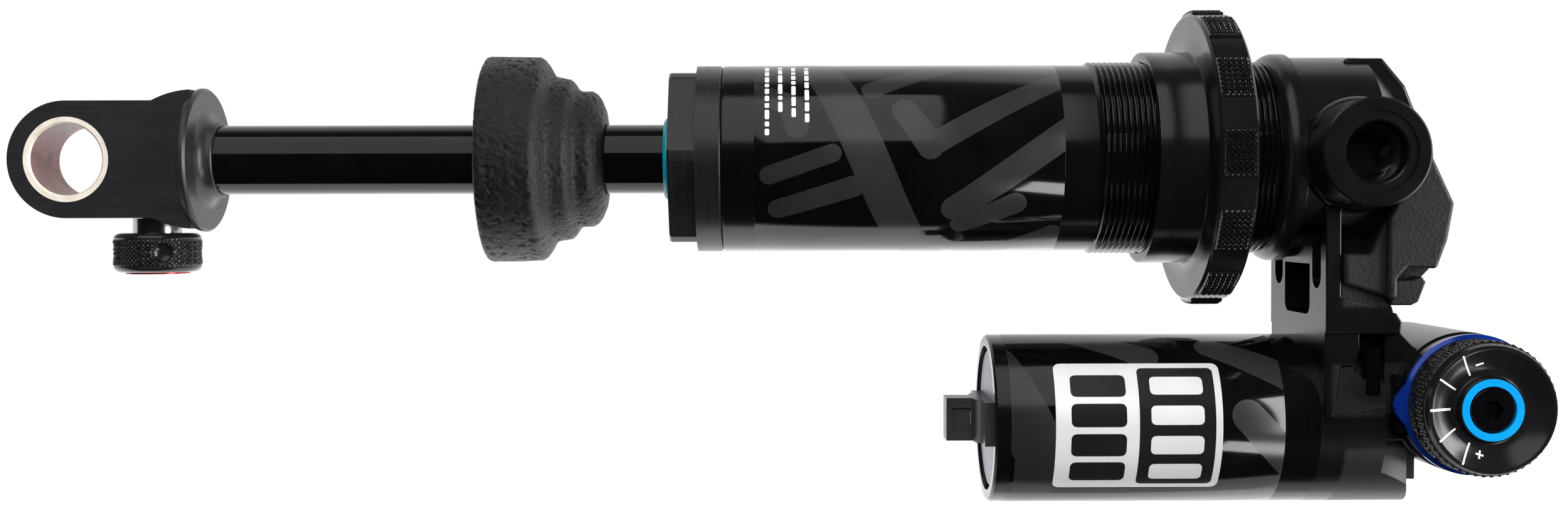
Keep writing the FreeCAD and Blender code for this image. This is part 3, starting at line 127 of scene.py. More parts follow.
class Net:
    """A material's nodes, written as nested calls."""

    def __init__(self, name):
        self.material = bpy.data.materials.new(name)
        self.material.use_nodes = True
        self.nodes = self.material.node_tree.nodes
        self.links = self.material.node_tree.links
        self.shader = self.nodes["Principled BSDF"]
        self.place = self.nodes.new("ShaderNodeTexCoord").outputs["Object"]

    def feed(self, socket, source):
        if isinstance(source, (int, float, tuple)):
            socket.default_value = source
        else:
            self.links.new(source, socket)

    def math(self, operation, *sources):
        node = self.nodes.new("ShaderNodeMath")
        node.operation = operation
        for socket, source in zip(node.inputs, sources):
            self.feed(socket, source)
        return node.outputs[0]

    def split(self, vector=None):
        node = self.nodes.new("ShaderNodeSeparateXYZ")
        self.feed(node.inputs[0], vector or self.place)
        return node.outputs[0], node.outputs[1], node.outputs[2]

    def mapped(self, scale):
        node = self.nodes.new("ShaderNodeMapping")
        node.inputs["Scale"].default_value = scale
        self.feed(node.inputs["Vector"], self.place)
        return node.outputs[0]

    def noise(self, scale, detail=4.0, stretch=(1, 1, 1), rough=0.55):
        node = self.nodes.new("ShaderNodeTexNoise")
        node.inputs["Scale"].default_value = scale
        node.inputs["Detail"].default_value = detail
        node.inputs["Roughness"].default_value = rough
        self.feed(node.inputs["Vector"], self.place if stretch == (1, 1, 1) else self.mapped(stretch))
        return node.outputs["Fac"]

    def cells(self, scale):
        node = self.nodes.new("ShaderNodeTexVoronoi")
        node.inputs["Scale"].default_value = scale
        self.feed(node.inputs["Vector"], self.place)
        return node.outputs["Distance"]

    def ramp(self, source, *stops):
        node = self.nodes.new("ShaderNodeValToRGB")
        band = node.color_ramp
        while len(band.elements) < len(stops):
            band.elements.new(0.5)
        for element, (place, color) in zip(band.elements, stops):
            element.position = place
            element.color = (*color, 1.0)
        self.feed(node.inputs[0], source)
        return node.outputs[0]

    def span(self, source, low, high, start=0.0, end=1.0):
        node = self.nodes.new("ShaderNodeMapRange")
        for socket, number in zip(node.inputs[1:5], (start, end, low, high)):
            socket.default_value = number
        self.feed(node.inputs[0], source)
        return node.outputs[0]

    def mix(self, factor, first, second):
        node = self.nodes.new("ShaderNodeMix")
        node.data_type = "RGBA"
        self.feed(node.inputs["Factor"], factor)
        self.feed(node.inputs[6], (*first, 1.0) if isinstance(first, tuple) else first)
        self.feed(node.inputs[7], (*second, 1.0) if isinstance(second, tuple) else second)
        return node.outputs[2]

    def bump(self, height, depth, under=None):
        node = self.nodes.new("ShaderNodeBump")
        node.inputs["Distance"].default_value = depth
        self.feed(node.inputs["Height"], height)
        if under is not None:
            self.feed(node.inputs["Normal"], under)
        return node.outputs[0]

    def finish(self, color=None, rough=None, normal=None, **constants):
        shader = self.shader.inputs
        for name, source in (("Base Color", color), ("Roughness", rough), ("Normal", normal)):
            if source is not None:
                self.feed(shader[name], source)
        for name, number in constants.items():
            shader[name.replace("_", " ")].default_value = number
        return self.material


def tinted(color, spread):
    """Two shades of one colour, a little apart."""
    return (tuple(part * (1 - spread) for part in color), tuple(min(1.0,
                                                                    part * (1 + spread)) for part in color))


def plain_finish(name, color, rough, metal, *, spread=0.18, grain=180.0, fine=2600.0, depth=0.000004,
                 stretch=(1, 1, 1), coat=0.0, coat_rough=0.08, specular=0.5):
    """A finish with clouded colour and roughness, faint handling marks and a fine surface grain."""
    net = Net(name)
    dark, light = tinted(color, spread)
    cloud = net.noise(grain, 5.0)
    shade = net.ramp(cloud, (0.32, dark), (0.7, light))
    marks = net.noise(grain * 6, 3.0, (0.25, 1, 1))
    uneven = net.math("ADD", net.span(cloud, rough * 0.85, rough * 1.1),
                      net.span(marks, 0.0, rough * 0.14, 0.55, 0.75))
    grainy = net.bump(net.noise(fine, 3.0, stretch), depth)
    return net.finish(shade, uneven, grainy, Metallic=metal, Coat_Weight=coat, Coat_Roughness=coat_rough,
                      Specular_IOR_Level=specular)


def turned_finish(name, color, rough, metal, axis, *, spacing=5200.0, depth=0.000004, coat=0.0):
    """A machined finish: fine tool lines at right angles to one axis, over a faint cloud."""
    stretch = tuple(1.0 if part == axis else 0.02 for part in "xyz")
    net = Net(name)
    dark, light = tinted(color, 0.2)
    lines = net.noise(spacing, 2.0, stretch, 0.7)
    cloud = net.noise(120.0, 5.0)
    shade = net.ramp(net.math("ADD", net.math("MULTIPLY", lines, 0.45), net.math("MULTIPLY", cloud, 0.55)),
                     (0.35, dark), (0.65, light))
    uneven = net.span(net.math("ADD", lines, net.math("MULTIPLY", cloud, 0.4)), rough * 0.8, rough * 1.25,
                      0.3, 1.1)
    return net.finish(shade, uneven, net.bump(lines, depth), Metallic=metal, Coat_Weight=coat)


def forging_finish():
    """The head: blasted skin on the forged slabs and the arm, turned and milled skin elsewhere."""
    net = Net("head_forging")
    x, y, z = net.split()
    across = net.math("ABSOLUTE", y)

    def inside(value, low, high, soft=0.0004):
        rise = net.span(value, 0.0, 1.0, low - soft, low + soft)
        fall = net.span(value, 1.0, 0.0, high - soft, high + soft)
        return net.math("MULTIPLY", rise, fall)

    boss_x = net.math("SUBTRACT", x, TRUNNION_X * MM)
    from_boss = net.math("SQRT", net.math("ADD", net.math("MULTIPLY", boss_x, boss_x),
                                          net.math("MULTIPLY", z, z)))
    off_boss = net.span(from_boss, 0.0, 1.0, 0.0101, 0.0105)
    block = net.math("MULTIPLY", inside(x, 0.2230, 0.2500), inside(z, -0.0262, 0.0060))
    block = net.math("MULTIPLY", block, net.span(across, 0.0, 1.0, 0.0125, 0.0135))
    arm = net.math("MULTIPLY", inside(x, 0.2214, 0.2350), inside(z, -0.0452, -0.0362))
    chin = net.math("MULTIPLY", net.span(z, 1.0, 0.0, -0.0515, -0.0505),
                    net.span(x, 0.0, 1.0, 0.2238, 0.2246))
    blasted = net.math("MULTIPLY", net.math("MAXIMUM", block, arm), off_boss)
    grain = net.noise(2300.0, 4.0, rough=0.62)
    pits = net.cells(1500.0)
    cloud = net.noise(150.0, 5.0)
    lines = net.noise(4600.0, 2.0, (1, 0.02, 0.02), 0.7)
    gloss = net.ramp(cloud, (0.3, (0.0028, 0.0027, 0.0033)), (0.7, (0.0052, 0.0050, 0.0060)))
    matte = net.ramp(net.math("ADD", net.math("MULTIPLY", grain, 0.6), net.math("MULTIPLY", cloud, 0.4)),
                     (0.35, (0.0070, 0.0070, 0.0084)), (0.68, (0.0150, 0.0150, 0.0172)))
    brushed = net.ramp(lines, (0.3, (0.012, 0.012, 0.013)), (0.7, (0.022, 0.0215, 0.024)))
    color = net.mix(chin, net.mix(blasted, gloss, matte), brushed)
    smooth = net.math("ADD", net.span(cloud, 0.20, 0.27), net.span(lines, 0.0, 0.05))
    rough = net.math("ADD", smooth, net.math("MULTIPLY", blasted, net.span(grain, 0.14, 0.26)))
    rough = net.math("ADD", rough, net.math("MULTIPLY", chin, 0.14))
    height = net.math("ADD", net.math("MULTIPLY", grain, blasted),
                      net.math("MULTIPLY", net.math("MULTIPLY", pits, 0.6), blasted))
    normal = net.bump(height, 0.00006, net.bump(lines, 0.0000025))
    return net.finish(color, rough, normal)


def graphic_finish(name, radius, drop, start, strokes):
    """Gloss black film with a generic pattern of broad satin strokes, partly broken up into fine dots."""
    net = Net(name)
    x, y, z = net.split()
    angle = net.math("ARCTAN2", net.math("SUBTRACT", z, drop * MM), net.math("MULTIPLY", y, -1.0))
    arc = net.math("MULTIPLY", angle, radius)
    along = net.math("MULTIPLY", net.math("SUBTRACT", x, start * MM), 1000.0)
    mask = None
    for (along_a, arc_a), (along_b, arc_b), half_width in strokes:
        run, rise = along_b - along_a, arc_b - arc_a
        dx = net.math("SUBTRACT", along, along_a)
        dy = net.math("SUBTRACT", arc, arc_a)
        share = net.math("ADD", net.math("MULTIPLY", dx, run), net.math("MULTIPLY", dy, rise))
        share = net.span(share, 0.0, 1.0, 0.0, run * run + rise * rise)
        dx = net.math("SUBTRACT", dx, net.math("MULTIPLY", share, run))
        dy = net.math("SUBTRACT", dy, net.math("MULTIPLY", share, rise))
        away = net.math("SQRT", net.math("ADD", net.math("MULTIPLY", dx, dx), net.math("MULTIPLY", dy, dy)))
        shape = net.math("LESS_THAN", away, half_width)
        mask = shape if mask is None else net.math("MAXIMUM", mask, shape)
    dots = net.math("MULTIPLY", net.math("SINE", net.math("MULTIPLY", net.math("ADD", along, arc), 8.4)),
                    net.math("SINE", net.math("MULTIPLY", net.math("SUBTRACT", along, arc), 8.4)))
    dotted = net.math("GREATER_THAN", dots, net.span(along, -0.15, -1.0, 0.0, 14.0))
    cloud = net.noise(140.0, 5.0)
    gloss = net.ramp(cloud, (0.3, (0.0016, 0.0015, 0.0020)), (0.7, (0.0034, 0.0032, 0.0042)))
    satin = net.ramp(cloud, (0.3, (0.0225, 0.0220, 0.0250)), (0.7, (0.0285, 0.0280, 0.0315)))
    share = net.math("MULTIPLY", mask, net.math("ADD", 0.35, net.math("MULTIPLY", dotted, 0.65)))
    rough = net.math("ADD", net.span(cloud, 0.07, 0.10), net.math("MULTIPLY", mask, 0.12))
    return net.finish(net.mix(share, gloss, satin), rough, net.bump(net.noise(900.0, 3.0), 0.0000012))


def foam_finish():
    """Open-cell black foam with fine pits."""
    net = Net("foam_rubber")
    grain = net.noise(1900.0, 6.0, rough=0.7)
    pits = net.cells(1250.0)
    shade = net.ramp(net.math("ADD", net.math("MULTIPLY", grain, 0.7), net.math("MULTIPLY", pits, 0.3)),
                     (0.3, (0.0022, 0.0022, 0.0025)), (0.62, (0.0060, 0.0060, 0.0066)),
                     (0.8, (0.016, 0.016, 0.017)))
    rough = net.span(grain, 0.34, 0.62, 0.3, 0.7)
    return net.finish(shade, rough, net.bump(net.math("ADD", grain, net.math("MULTIPLY", pits, 0.8)),
                                             0.00013),
                      Specular_IOR_Level=0.55)


def liner_finish():
    """The woven lining of the eyelet's bushing, with its steel rim at both ends."""
    net = Net("liner")
    cloud = net.noise(420.0, 6.0)
    weave = net.noise(1700.0, 3.0, (1, 0.3, 1))
    shade = net.ramp(net.math("ADD", net.math("MULTIPLY", cloud, 0.7), net.math("MULTIPLY", weave, 0.3)),
                     (0.34, (0.13, 0.040, 0.040)), (0.5, (0.20, 0.070, 0.068)), (0.68, (0.30, 0.13, 0.115)))
    across = net.split()[1]
    rim = net.span(net.math("ABSOLUTE", across), 0.0, 1.0, 0.00590, 0.00600)
    steel = net.ramp(cloud, (0.3, (0.78, 0.70, 0.58)), (0.7, (0.95, 0.90, 0.80)))
    return net.finish(net.mix(rim, shade, steel), net.span(weave, 0.30, 0.48), net.bump(weave, 0.00001),
                      Metallic=0.1)


MATERIALS = {
    "black_anodised": turned_finish("black_anodised", (0.0026, 0.0025, 0.0031), 0.17, 0.0, "x"),
    "satin_forging": forging_finish(),
    "knob_black": plain_finish("knob_black", (0.0090, 0.0088, 0.0098), 0.20, 0.0),
    "black_plated_steel": plain_finish("black_plated_steel", (0.0024, 0.0022, 0.0030), 0.085, 0.0,
                                       spread=0.25,
                                       fine=1500.0, depth=0.0000012, specular=0.4),
    "polished_steel": plain_finish("polished_steel", (0.46, 0.455, 0.45), 0.20, 1.0, spread=0.06),
    "bare_aluminium": turned_finish("bare_aluminium", (0.62, 0.62, 0.64), 0.28, 1.0, "x"),
    "grey_cap": plain_finish("grey_cap", (0.24, 0.235, 0.285), 0.42, 0.2, spread=0.08, fine=1800.0),
    "black_rubber": plain_finish("black_rubber", (0.008, 0.008, 0.008), 0.55, 0.0, fine=1600.0,
                                 depth=0.00002),
    "foam_rubber": foam_finish(),
    "wiper_teal": plain_finish("wiper_teal", (0.0, 0.30, 0.36), 0.38, 0.0, spread=0.12, depth=0.00001),
    "liner": liner_finish(),
    "black_ptfe": plain_finish("black_ptfe", (0.015, 0.018, 0.018), 0.42, 0.0, spread=0.3),
    "accent_red": plain_finish("accent_red", (0.50, 0.010, 0.016), 0.24, 0.3, spread=0.12),
    "ring_sky_blue": plain_finish("ring_sky_blue", (0.0, 0.33, 0.80), 0.30, 0.1, spread=0.07),
    "ring_royal_blue": plain_finish("ring_royal_blue", (0.004, 0.030, 0.26), 0.20, 0.3, spread=0.2,
                                    coat=0.3),
    "brass_valve": plain_finish("brass_valve", (0.66, 0.47, 0.19), 0.25, 1.0, spread=0.12),
}
EYELET = turned_finish("eyelet_milled", (0.018, 0.018, 0.020), 0.33, 0.0, "z", spacing=3800.0,
                       depth=0.000008)
SEAL_HEAD = turned_finish("seal_head_milled", (0.010, 0.010, 0.0112), 0.32, 0.0, "x", spacing=1900.0,
                          depth=0.000022)
COLLAR = turned_finish("collar_anodised", (0.0055, 0.0053, 0.0060), 0.19, 0.0, "x", spacing=6200.0,
                       depth=0.0000015)
VALVE_COVER = plain_finish("valve_cover_grey", (0.030, 0.031, 0.033), 0.36, 0.0)
TUBE_FILM = graphic_finish("tube_film", TUBE_RADIUS, 0.0, TUBE_FILM_START, (
    ((10.5, 21.0), (30.5, -26.0), 3.4), ((2.5, -3.4), (13.4, 0.4), 1.6), ((4.2, -9.6), (17.0, -5.4), 1.9),
    ((-2.0, 13.0), (6.2, 9.5), 2.1), ((6.2, 9.5), (7.4, 5.0), 2.1), ((12.5, -19.0), (23.0, -17.5), 2.0),
    ((20.5, 12.6), (35.0, 20.5), 1.9), ((26.0, 8.0), (30.2, 1.6), 2.3), ((30.2, 1.6), (56.0, 16.5), 2.0),
    ((34.6, -9.6), (56.0, 5.5), 2.4), ((36.0, -13.0), (45.0, -8.6), 2.0),
                                                                            ((37.5, -25.0), (52.0, -15.5),
                                                                             2.1)))
RESERVOIR_FILM = graphic_finish("reservoir_film", RESERVOIR_RADIUS, RESERVOIR_Z, RESERVOIR_FILM_START, (
    ((-3.0, 12.0), (4.5, -3.0), 4.6), ((4.2, -2.0), (4.2, -15.0), 3.4), ((10.0, 21.0), (24.0, 13.5), 2.6),
    ((12.0, -23.0), (30.0, -19.0), 2.8), ((36.0, 16.0), (50.0, 8.0), 2.6), ((41.0, 2.0), (50.0, -8.0), 2.8),
    ((33.0, -20.0), (50.0, -13.0), 2.4)))
LABEL_SILVER = plain_finish("label_silver", (0.80, 0.82, 0.79), 0.30, 0.25, spread=0.05, grain=90.0)
LABEL_BLACK = plain_finish("label_black", (0.010, 0.010, 0.011), 0.26, 0.0, spread=0.1)
MARK_WHITE = plain_finish("mark_white", (0.86, 0.87, 0.88), 0.40, 0.0, spread=0.03)

for node_name, node in NODES.items():
    chosen = {"eyelet_end": EYELET, "seal_head": SEAL_HEAD, "valve_cover": VALVE_COVER}.get(
        node_name, MATERIALS[SLOT_OF[node_name]])
    node.data.materials.clear()
    node.data.materials.append(chosen)


# ---- mesh making ----

def make(name, points, faces, material, slot, body, stands_for=(), sharp=38.0):
    """One finished piece that rides on a body and may stand for CAD nodes."""
    mesh = bpy.data.meshes.new(name)
    mesh.from_pydata(points, [], faces)
    shell = bmesh.new()
    shell.from_mesh(mesh)
    bmesh.ops.recalc_face_normals(shell, faces=shell.faces)
    shell.to_mesh(mesh)
    shell.free()
    mesh.polygons.foreach_set("use_smooth", [True] * len(mesh.polygons))
    mesh.set_sharp_from_angle(angle=math.radians(sharp))
    piece = bpy.data.objects.new(name, mesh)
    bpy.context.scene.collection.objects.link(piece)
    mesh.materials.append(material)
    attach(piece, body)
    if stands_for:
        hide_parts(*stands_for)
    return piece


def even_angles(count):
    """Angles of a whole turn in equal steps."""
    return [TURN * number / count for number in range(count)]


def steps(start, end, step):
    """Corners from start up to, but not including, end, no further apart than step."""
    count = max(1, math.ceil(math.dist(start, end) / step))
    return [tuple(a + (b - a) * number / count for a, b in zip(start, end)) for number in range(count)]


def fine_loop(corners, step):
    """A closed profile with its sides divided; a side from a corner marked True stays whole."""
    loop = []
    for number, corner in enumerate(corners):
        after = corners[(number + 1) % len(corners)]
        loop += [corner[:2]] if len(corner) == 3 else steps(corner, after[:2], step)
    return loop


def turned_mesh(loop, angles, place, relief=None):
    """A closed profile of (along, radius) corners turned round an axis; relief moves each point."""
    points = []
    for along, radius in loop:
        for angle in angles:
            moved = relief(along, radius, angle) if relief else (along, radius)
            points.append(place(*moved, angle))
    width, height = len(angles), len(loop)
    faces = []
    for row in range(height):
        upper = (row + 1) % height
        for column in range(width):
            right = (column + 1) % width
            faces.append((row * width + column, row * width + right, upper * width + right,
                          upper * width + column))
    return points, faces


def slab_mesh(rows_top, rows_bottom):
    """A closed thin solid between two grids of points of the same size."""
    height, width = len(rows_top), len(rows_top[0])
    points = [point for row in rows_top for point in row] + [point for row in rows_bottom for point in row]
    under = height * width
    faces = []
    for row in range(height - 1):
        for column in range(width - 1):
            a = row * width + column
            faces.append((a, a + 1, a + width + 1, a + width))
            faces.append((under + a, under + a + width, under + a + width + 1, under + a + 1))
    rim = [column for column in range(width)]
    rim += [row * width + width - 1 for row in range(1, height)]
    rim += [(height - 1) * width + column for column in range(width - 2, -1, -1)]
    rim += [row * width for row in range(height - 2, 0, -1)]
    for number, corner in enumerate(rim):
        after = rim[(number + 1) % len(rim)]
        faces.append((corner, after, under + after, under + corner))
    return points, faces


def wave(value):
    """0 at each whole number and 1 halfway between."""
    return 1.0 - abs(2.0 * (value - math.floor(value)) - 1.0)


def knurl(along, arc, pitch):
    """Height of a diamond knurl, 0 in its grooves and 1 on its blunt points."""
    height = min(wave((along + arc) / pitch), wave((along - arc) / pitch))
    return min(1.0, height * 1.35)


# ---- damper tube with its collar thread ----

def thread_relief(along, radius, angle):
    """The tube's outer thread, which fades out at both ends."""
    if radius < THREAD_RADIUS - 0.01 or not THREAD_START + 0.4 < along < THREAD_END - 0.4:
        return along, radius
    flank = min(1.0, max(0.0, (wave(along / THREAD_PITCH - angle / TURN) - 0.14) / 0.62))
    fade = min(1.0, (along - THREAD_START) / 0.5, (THREAD_END - along) / 1.2)
    return along, radius - THREAD_DEPTH * fade * (1.0 - flank)


thread_rows = [(THREAD_END - 0.5 - THREAD_ROW * number, THREAD_RADIUS)
               for number in range(int((THREAD_END - THREAD_START - 1.0) / THREAD_ROW) + 1)]
tube_loop = [(TUBE_START, TUBE_BORE), (TUBE_END, TUBE_BORE), (TUBE_END, TUBE_SPIGOT - 0.2),
             (TUBE_END - 0.2, TUBE_SPIGOT), (THREAD_END, TUBE_SPIGOT),
             (THREAD_END, THREAD_RADIUS - THREAD_DEPTH),
             *thread_rows, (THREAD_START, TUBE_RADIUS), (THREAD_START - 1.0, TUBE_RADIUS),
             (TUBE_START + 0.45, TUBE_RADIUS), (TUBE_START + 0.12, TUBE_RADIUS - 0.12),
             (TUBE_START, TUBE_RADIUS - 0.4)]
make("damper_tube_threaded", *turned_mesh(tube_loop, even_angles(ROUND), on_tube, thread_relief),
     MATERIALS["black_anodised"], "black_anodised", "damper", ["damper_tube"])


# ---- films, marks and label ----

def film(name, start, end, low, high, place, material, body):
    """A printed sleeve round a tube, with slightly rounded ends."""
    loop = [(start, low), (end, low), (end, high - 0.015), (end - 0.02, high), (start + 0.02, high),
            (start, high - 0.015)]
    return make(name, *turned_mesh(loop, even_angles(ROUND), place), material, "black_anodised", body)


film("tube_graphic", TUBE_FILM_START, TUBE_FILM_END, TUBE_RADIUS - 0.1, TUBE_RADIUS + 0.05, on_tube,
     TUBE_FILM, "damper")
film("reservoir_graphic", RESERVOIR_FILM_START, RESERVOIR_FILM_END, RESERVOIR_RADIUS - 0.1,
     RESERVOIR_RADIUS + 0.04, on_reservoir,
     RESERVOIR_FILM, "damper")


def patch(name, place, radius, along, angles, corner, thick, material, slot, body, columns=28, rows=28):
    """A thin rounded rectangle wrapped round a cylinder."""
    half_long = (along[1] - along[0]) / 2
    half_tall = (angles[1] - angles[0]) / 2 * radius
    top, bottom = [], []
    for column in range(columns + 1):
        share = math.cos(math.pi * (1 - column / columns))
        x = share * half_long
        over = max(0.0, abs(x) - (half_long - corner))
        reach = half_tall - corner + math.sqrt(max(0.0, corner ** 2 - over ** 2))
        line = [(2 * row / rows - 1) * max(reach, 0.02) for row in range(rows + 1)]
        middle = (angles[0] + angles[1]) / 2
        centre = (along[0] + along[1]) / 2
        top.append([place(centre + x, radius + thick, middle + y / radius) for y in line])
        bottom.append([place(centre + x, radius, middle + y / radius) for y in line])
    return make(name, *slab_mesh(top, bottom), material, slot, body)


def degrees(*numbers):
    """The same angles in radians."""
    return tuple(math.radians(number) for number in numbers)


label_low = RESERVOIR_RADIUS + 0.03
patch("reservoir_label", on_reservoir, label_low, (173.9, 202.8), degrees(-47.0, 45.0), 1.3, 0.05,
      LABEL_SILVER,
      "grey_cap", "damper", 36, 44)
patch("label_block", on_reservoir, label_low + 0.04, (188.4, 201.6), degrees(-43.0, 41.0), 0.9, 0.03,
      LABEL_BLACK,
      "black_anodised", "damper", 24, 40)
for number in range(4):
    low = -39.5 + 19.9 * number
    patch(f"label_bar_{number}", on_reservoir, label_low + 0.04, (176.6, 186.2), degrees(low, low + 15.4),
          0.9, 0.03,
          LABEL_BLACK, "black_anodised", "damper", 14, 14)
    patch(f"label_window_{number}", on_reservoir, label_low + 0.06, (190.4, 199.6),
          degrees(low + 1.4, low + 14.0),
          0.8, 0.03, LABEL_SILVER, "grey_cap", "damper", 14, 14)

shuffle = random.Random(11)
for line in range(4):
    turned_to = 20.0 + 3.4 * line if line < 3 else 12.0
    number = 0
    while turned_to < 72.0:
        length = shuffle.uniform(3.0, 9.0)
        patch(f"tube_mark_{line}_{number}", on_tube, TUBE_RADIUS + 0.04,
              (131.4 - 2.3 * line - 0.75, 131.4 - 2.3 * line),
              degrees(turned_to, min(turned_to + length, 73.0)), 0.18, 0.02, MARK_WHITE, "grey_cap",
              "damper", 6, 8)
        turned_to += length + 1.5
        number += 1


# ---- spring preload collar ----

PAD_HALF = 8.5


def collar_angles():
    """Angles round the collar, close together on its twelve knurled pads."""
    angles = []
    for sector in range(12):
        middle = 30.0 * sector
        angles += [middle - PAD_HALF - 0.25]
        angles += [middle - PAD_HALF + 2 * PAD_HALF * number / 64 for number in range(65)]
        angles += [middle + PAD_HALF + 0.25]
        angles += [middle + PAD_HALF + 0.25 + (30.0 - 2 * PAD_HALF - 0.5) * number / 6
                   for number in range(1, 6)]
    return [math.radians(angle) for angle in angles]


def collar_relief(along, radius, angle):
    """Raised, bevelled and knurled pads on the collar's rim."""
    if radius < COLLAR_RING - 0.01 or not COLLAR_FACE + 0.5 < along < COLLAR_END - 0.5:
        return along, radius
    from_pad = (math.degrees(angle) + 15.0) % 30.0 - 15.0
    if abs(from_pad) > PAD_HALF + 0.1:
        return along, radius
    inset = min(along - COLLAR_FACE - 0.5, COLLAR_END - 0.5 - along, (PAD_HALF - abs(from_pad)) * 0.44)
    bevel = min(1.0, max(0.0, inset / 0.35))
    rise = 0.35 + 0.4 * bevel - 0.55 * bevel * (1.0 - knurl(along, angle * COLLAR_PAD, 0.96))
    return along, COLLAR_RING + rise


collar_loop = [(COLLAR_START, COLLAR_BORE), (COLLAR_END, COLLAR_BORE), (COLLAR_END, 20.0),
               (COLLAR_END, COLLAR_RING - 0.4), (COLLAR_END - 0.4, COLLAR_RING),
               (COLLAR_END - 0.48, COLLAR_RING),
               *[(COLLAR_END - 0.52 - 0.1075 * number, COLLAR_RING) for number in range(52)],
               (COLLAR_FACE + 0.48, COLLAR_RING), (COLLAR_FACE + 0.4, COLLAR_RING),
               (COLLAR_FACE, COLLAR_RING - 0.4),
               (COLLAR_FACE, 23.0), (COLLAR_FACE, COLLAR_SLEEVE + 0.6),
               (COLLAR_FACE - 0.18, COLLAR_SLEEVE + 0.18),
               (COLLAR_FACE - 0.6, COLLAR_SLEEVE), (COLLAR_START + 3.0, COLLAR_SLEEVE),
               (COLLAR_START + 0.4, COLLAR_SLEEVE), (COLLAR_START + 0.1, COLLAR_SLEEVE - 0.1),
               (COLLAR_START, COLLAR_SLEEVE - 0.4)]
make("preload_collar_knurled", *turned_mesh(collar_loop, collar_angles(), on_tube, collar_relief), COLLAR,
     "black_anodised", "collar", ["preload_collar"])


# ---- rebound knob ----

KNOB_TOP, KNOB_BOTTOM, KNOB_RADIUS, DIMPLE = 13.1, 20.1, 7.55, 1.75


def rebound_relief(along, radius, angle):
    """A knurled rim with four round dimples."""
    if radius < KNOB_RADIUS - 0.02:
        return along, radius
    middle = (KNOB_TOP + KNOB_BOTTOM) / 2
    turned_by = (math.degrees(angle) + 64.0 + 45.0) % 90.0 - 45.0
    away = math.hypot(along - middle, math.radians(turned_by) * KNOB_RADIUS)
    if away < DIMPLE:
        return along, radius - 0.9 * math.sqrt(1.0 - (away / DIMPLE) ** 2) - 0.1
    edge = min(1.0, (away - DIMPLE) / 0.25, (along - KNOB_TOP - 1.0) / 0.5,
               (KNOB_BOTTOM - 1.0 - along) / 0.5)
    height = knurl(along, angle * KNOB_RADIUS, 0.8)
    return along, radius + 0.30 * max(0.0, edge) * height - 0.16


knob_loop = [(KNOB_TOP, 2.1), (KNOB_BOTTOM - 0.7, 2.1), (KNOB_BOTTOM - 0.7, 5.5), (KNOB_BOTTOM, 5.5),
             (KNOB_BOTTOM, 6.3), (KNOB_BOTTOM - 0.12, 6.85), (KNOB_BOTTOM - 0.45, 7.3),
             (KNOB_BOTTOM - 0.85, 7.52),
             *[(KNOB_BOTTOM - 1.0 - KNURL_ROW * number, KNOB_RADIUS) for number in range(42)],
             (KNOB_TOP + 0.85, 7.52), (KNOB_TOP + 0.45, 7.3), (KNOB_TOP + 0.12, 6.85), (KNOB_TOP, 6.3),
             (KNOB_TOP, 4.2)]
make("rebound_knob_knurled", *turned_mesh(knob_loop, even_angles(KNURLED_ROUND), on_rebound,
                                          rebound_relief),
     MATERIALS["knob_black"], "knob_black", "rebound_dial", ["rebound_knob"])


# ---- compression dials ----

HSC_KNURL_START, LSC_KNURL_START = 20.95, 24.52
HSC_DIMPLE, HSC_DIMPLE_ALONG, HSC_DIMPLE_DEPTH = 1.15, 19.9, 0.62
TICK_START, TICK_WIDTH, SIGN_WIDTH = 6.5, 0.32, 0.30

def hsc_relief(along, radius, angle):
    """A fine knurl with twelve round dimples."""
    if radius < DIAL_RADIUS - 0.01:
        return along, radius
    turned_by = (math.degrees(angle) + 5.0 + 15.0) % 30.0 - 15.0
    away = math.hypot(along - HSC_DIMPLE_ALONG, math.radians(turned_by) * radius)
    if away < HSC_DIMPLE:
        return along, radius - HSC_DIMPLE_DEPTH * math.sqrt(1.0 - (away / HSC_DIMPLE) ** 2)
    return along, radius - 0.3 * (1.0 - knurl(along, angle * radius, 0.95))


hsc_loop = [(17.3, 3.3), (21.2, 3.3), (21.2, 10.9), (21.05, 11.3),
            *[(HSC_KNURL_START - KNURL_ROW * number, DIAL_RADIUS) for number in range(20)], (18.55, 11.3),
            (18.52, 10.95), (17.3, 10.95)]
make("hsc_knob_knurled", *turned_mesh(hsc_loop, even_angles(DIAL_ROUND), on_dials, hsc_relief),
     MATERIALS["knob_black"],
     "knob_black", "high_speed_dial", ["hsc_knob"])


def lsc_relief(along, radius, angle):
    """A coarse knurl."""
    if radius < DIAL_RADIUS - 0.01:
        return along, radius
    return along, radius - 0.42 * (1.0 - knurl(along, angle * radius, 1.4))


DISH = [(26.08, 10.72), (26.2, 10.6), (26.2, 10.12), (26.12, 9.98), (25.55, 9.1), (25.05, 8.2),
        (24.68, 7.4),
        (24.42, 6.8), (24.32, 6.35)]
lsc_loop = [(21.6, 1.5), (23.8, 1.5), (23.8, 3.7), (25.1, 3.7), (25.1, 5.2), (25.9, 5.2), (25.9, 5.38),
            (25.8, 5.48),
            (24.5, 5.62), (24.34, 5.9), *DISH[::-1], (25.9, 10.8), (25.2, 10.95), (24.75, 11.1),
            (24.6, 11.3),
            *[(LSC_KNURL_START - KNURL_ROW * number, DIAL_RADIUS) for number in range(24)], (21.7, 11.3),
            (21.6, 11.1), (21.6, 6.0)]
make("lsc_knob_dished", *turned_mesh(lsc_loop, even_angles(DIAL_ROUND), on_dials, lsc_relief),
     MATERIALS["knob_black"],
     "knob_black", "low_speed_dial", ["lsc_knob"])


def dish_height(radius):
    """How far out the dished face lies at one radius."""
    for (high, outer), (low, inner) in zip(DISH, DISH[1:]):
        if inner <= radius <= outer:
            return low + (high - low) * (radius - inner) / (outer - inner)
    return DISH[-1][0]


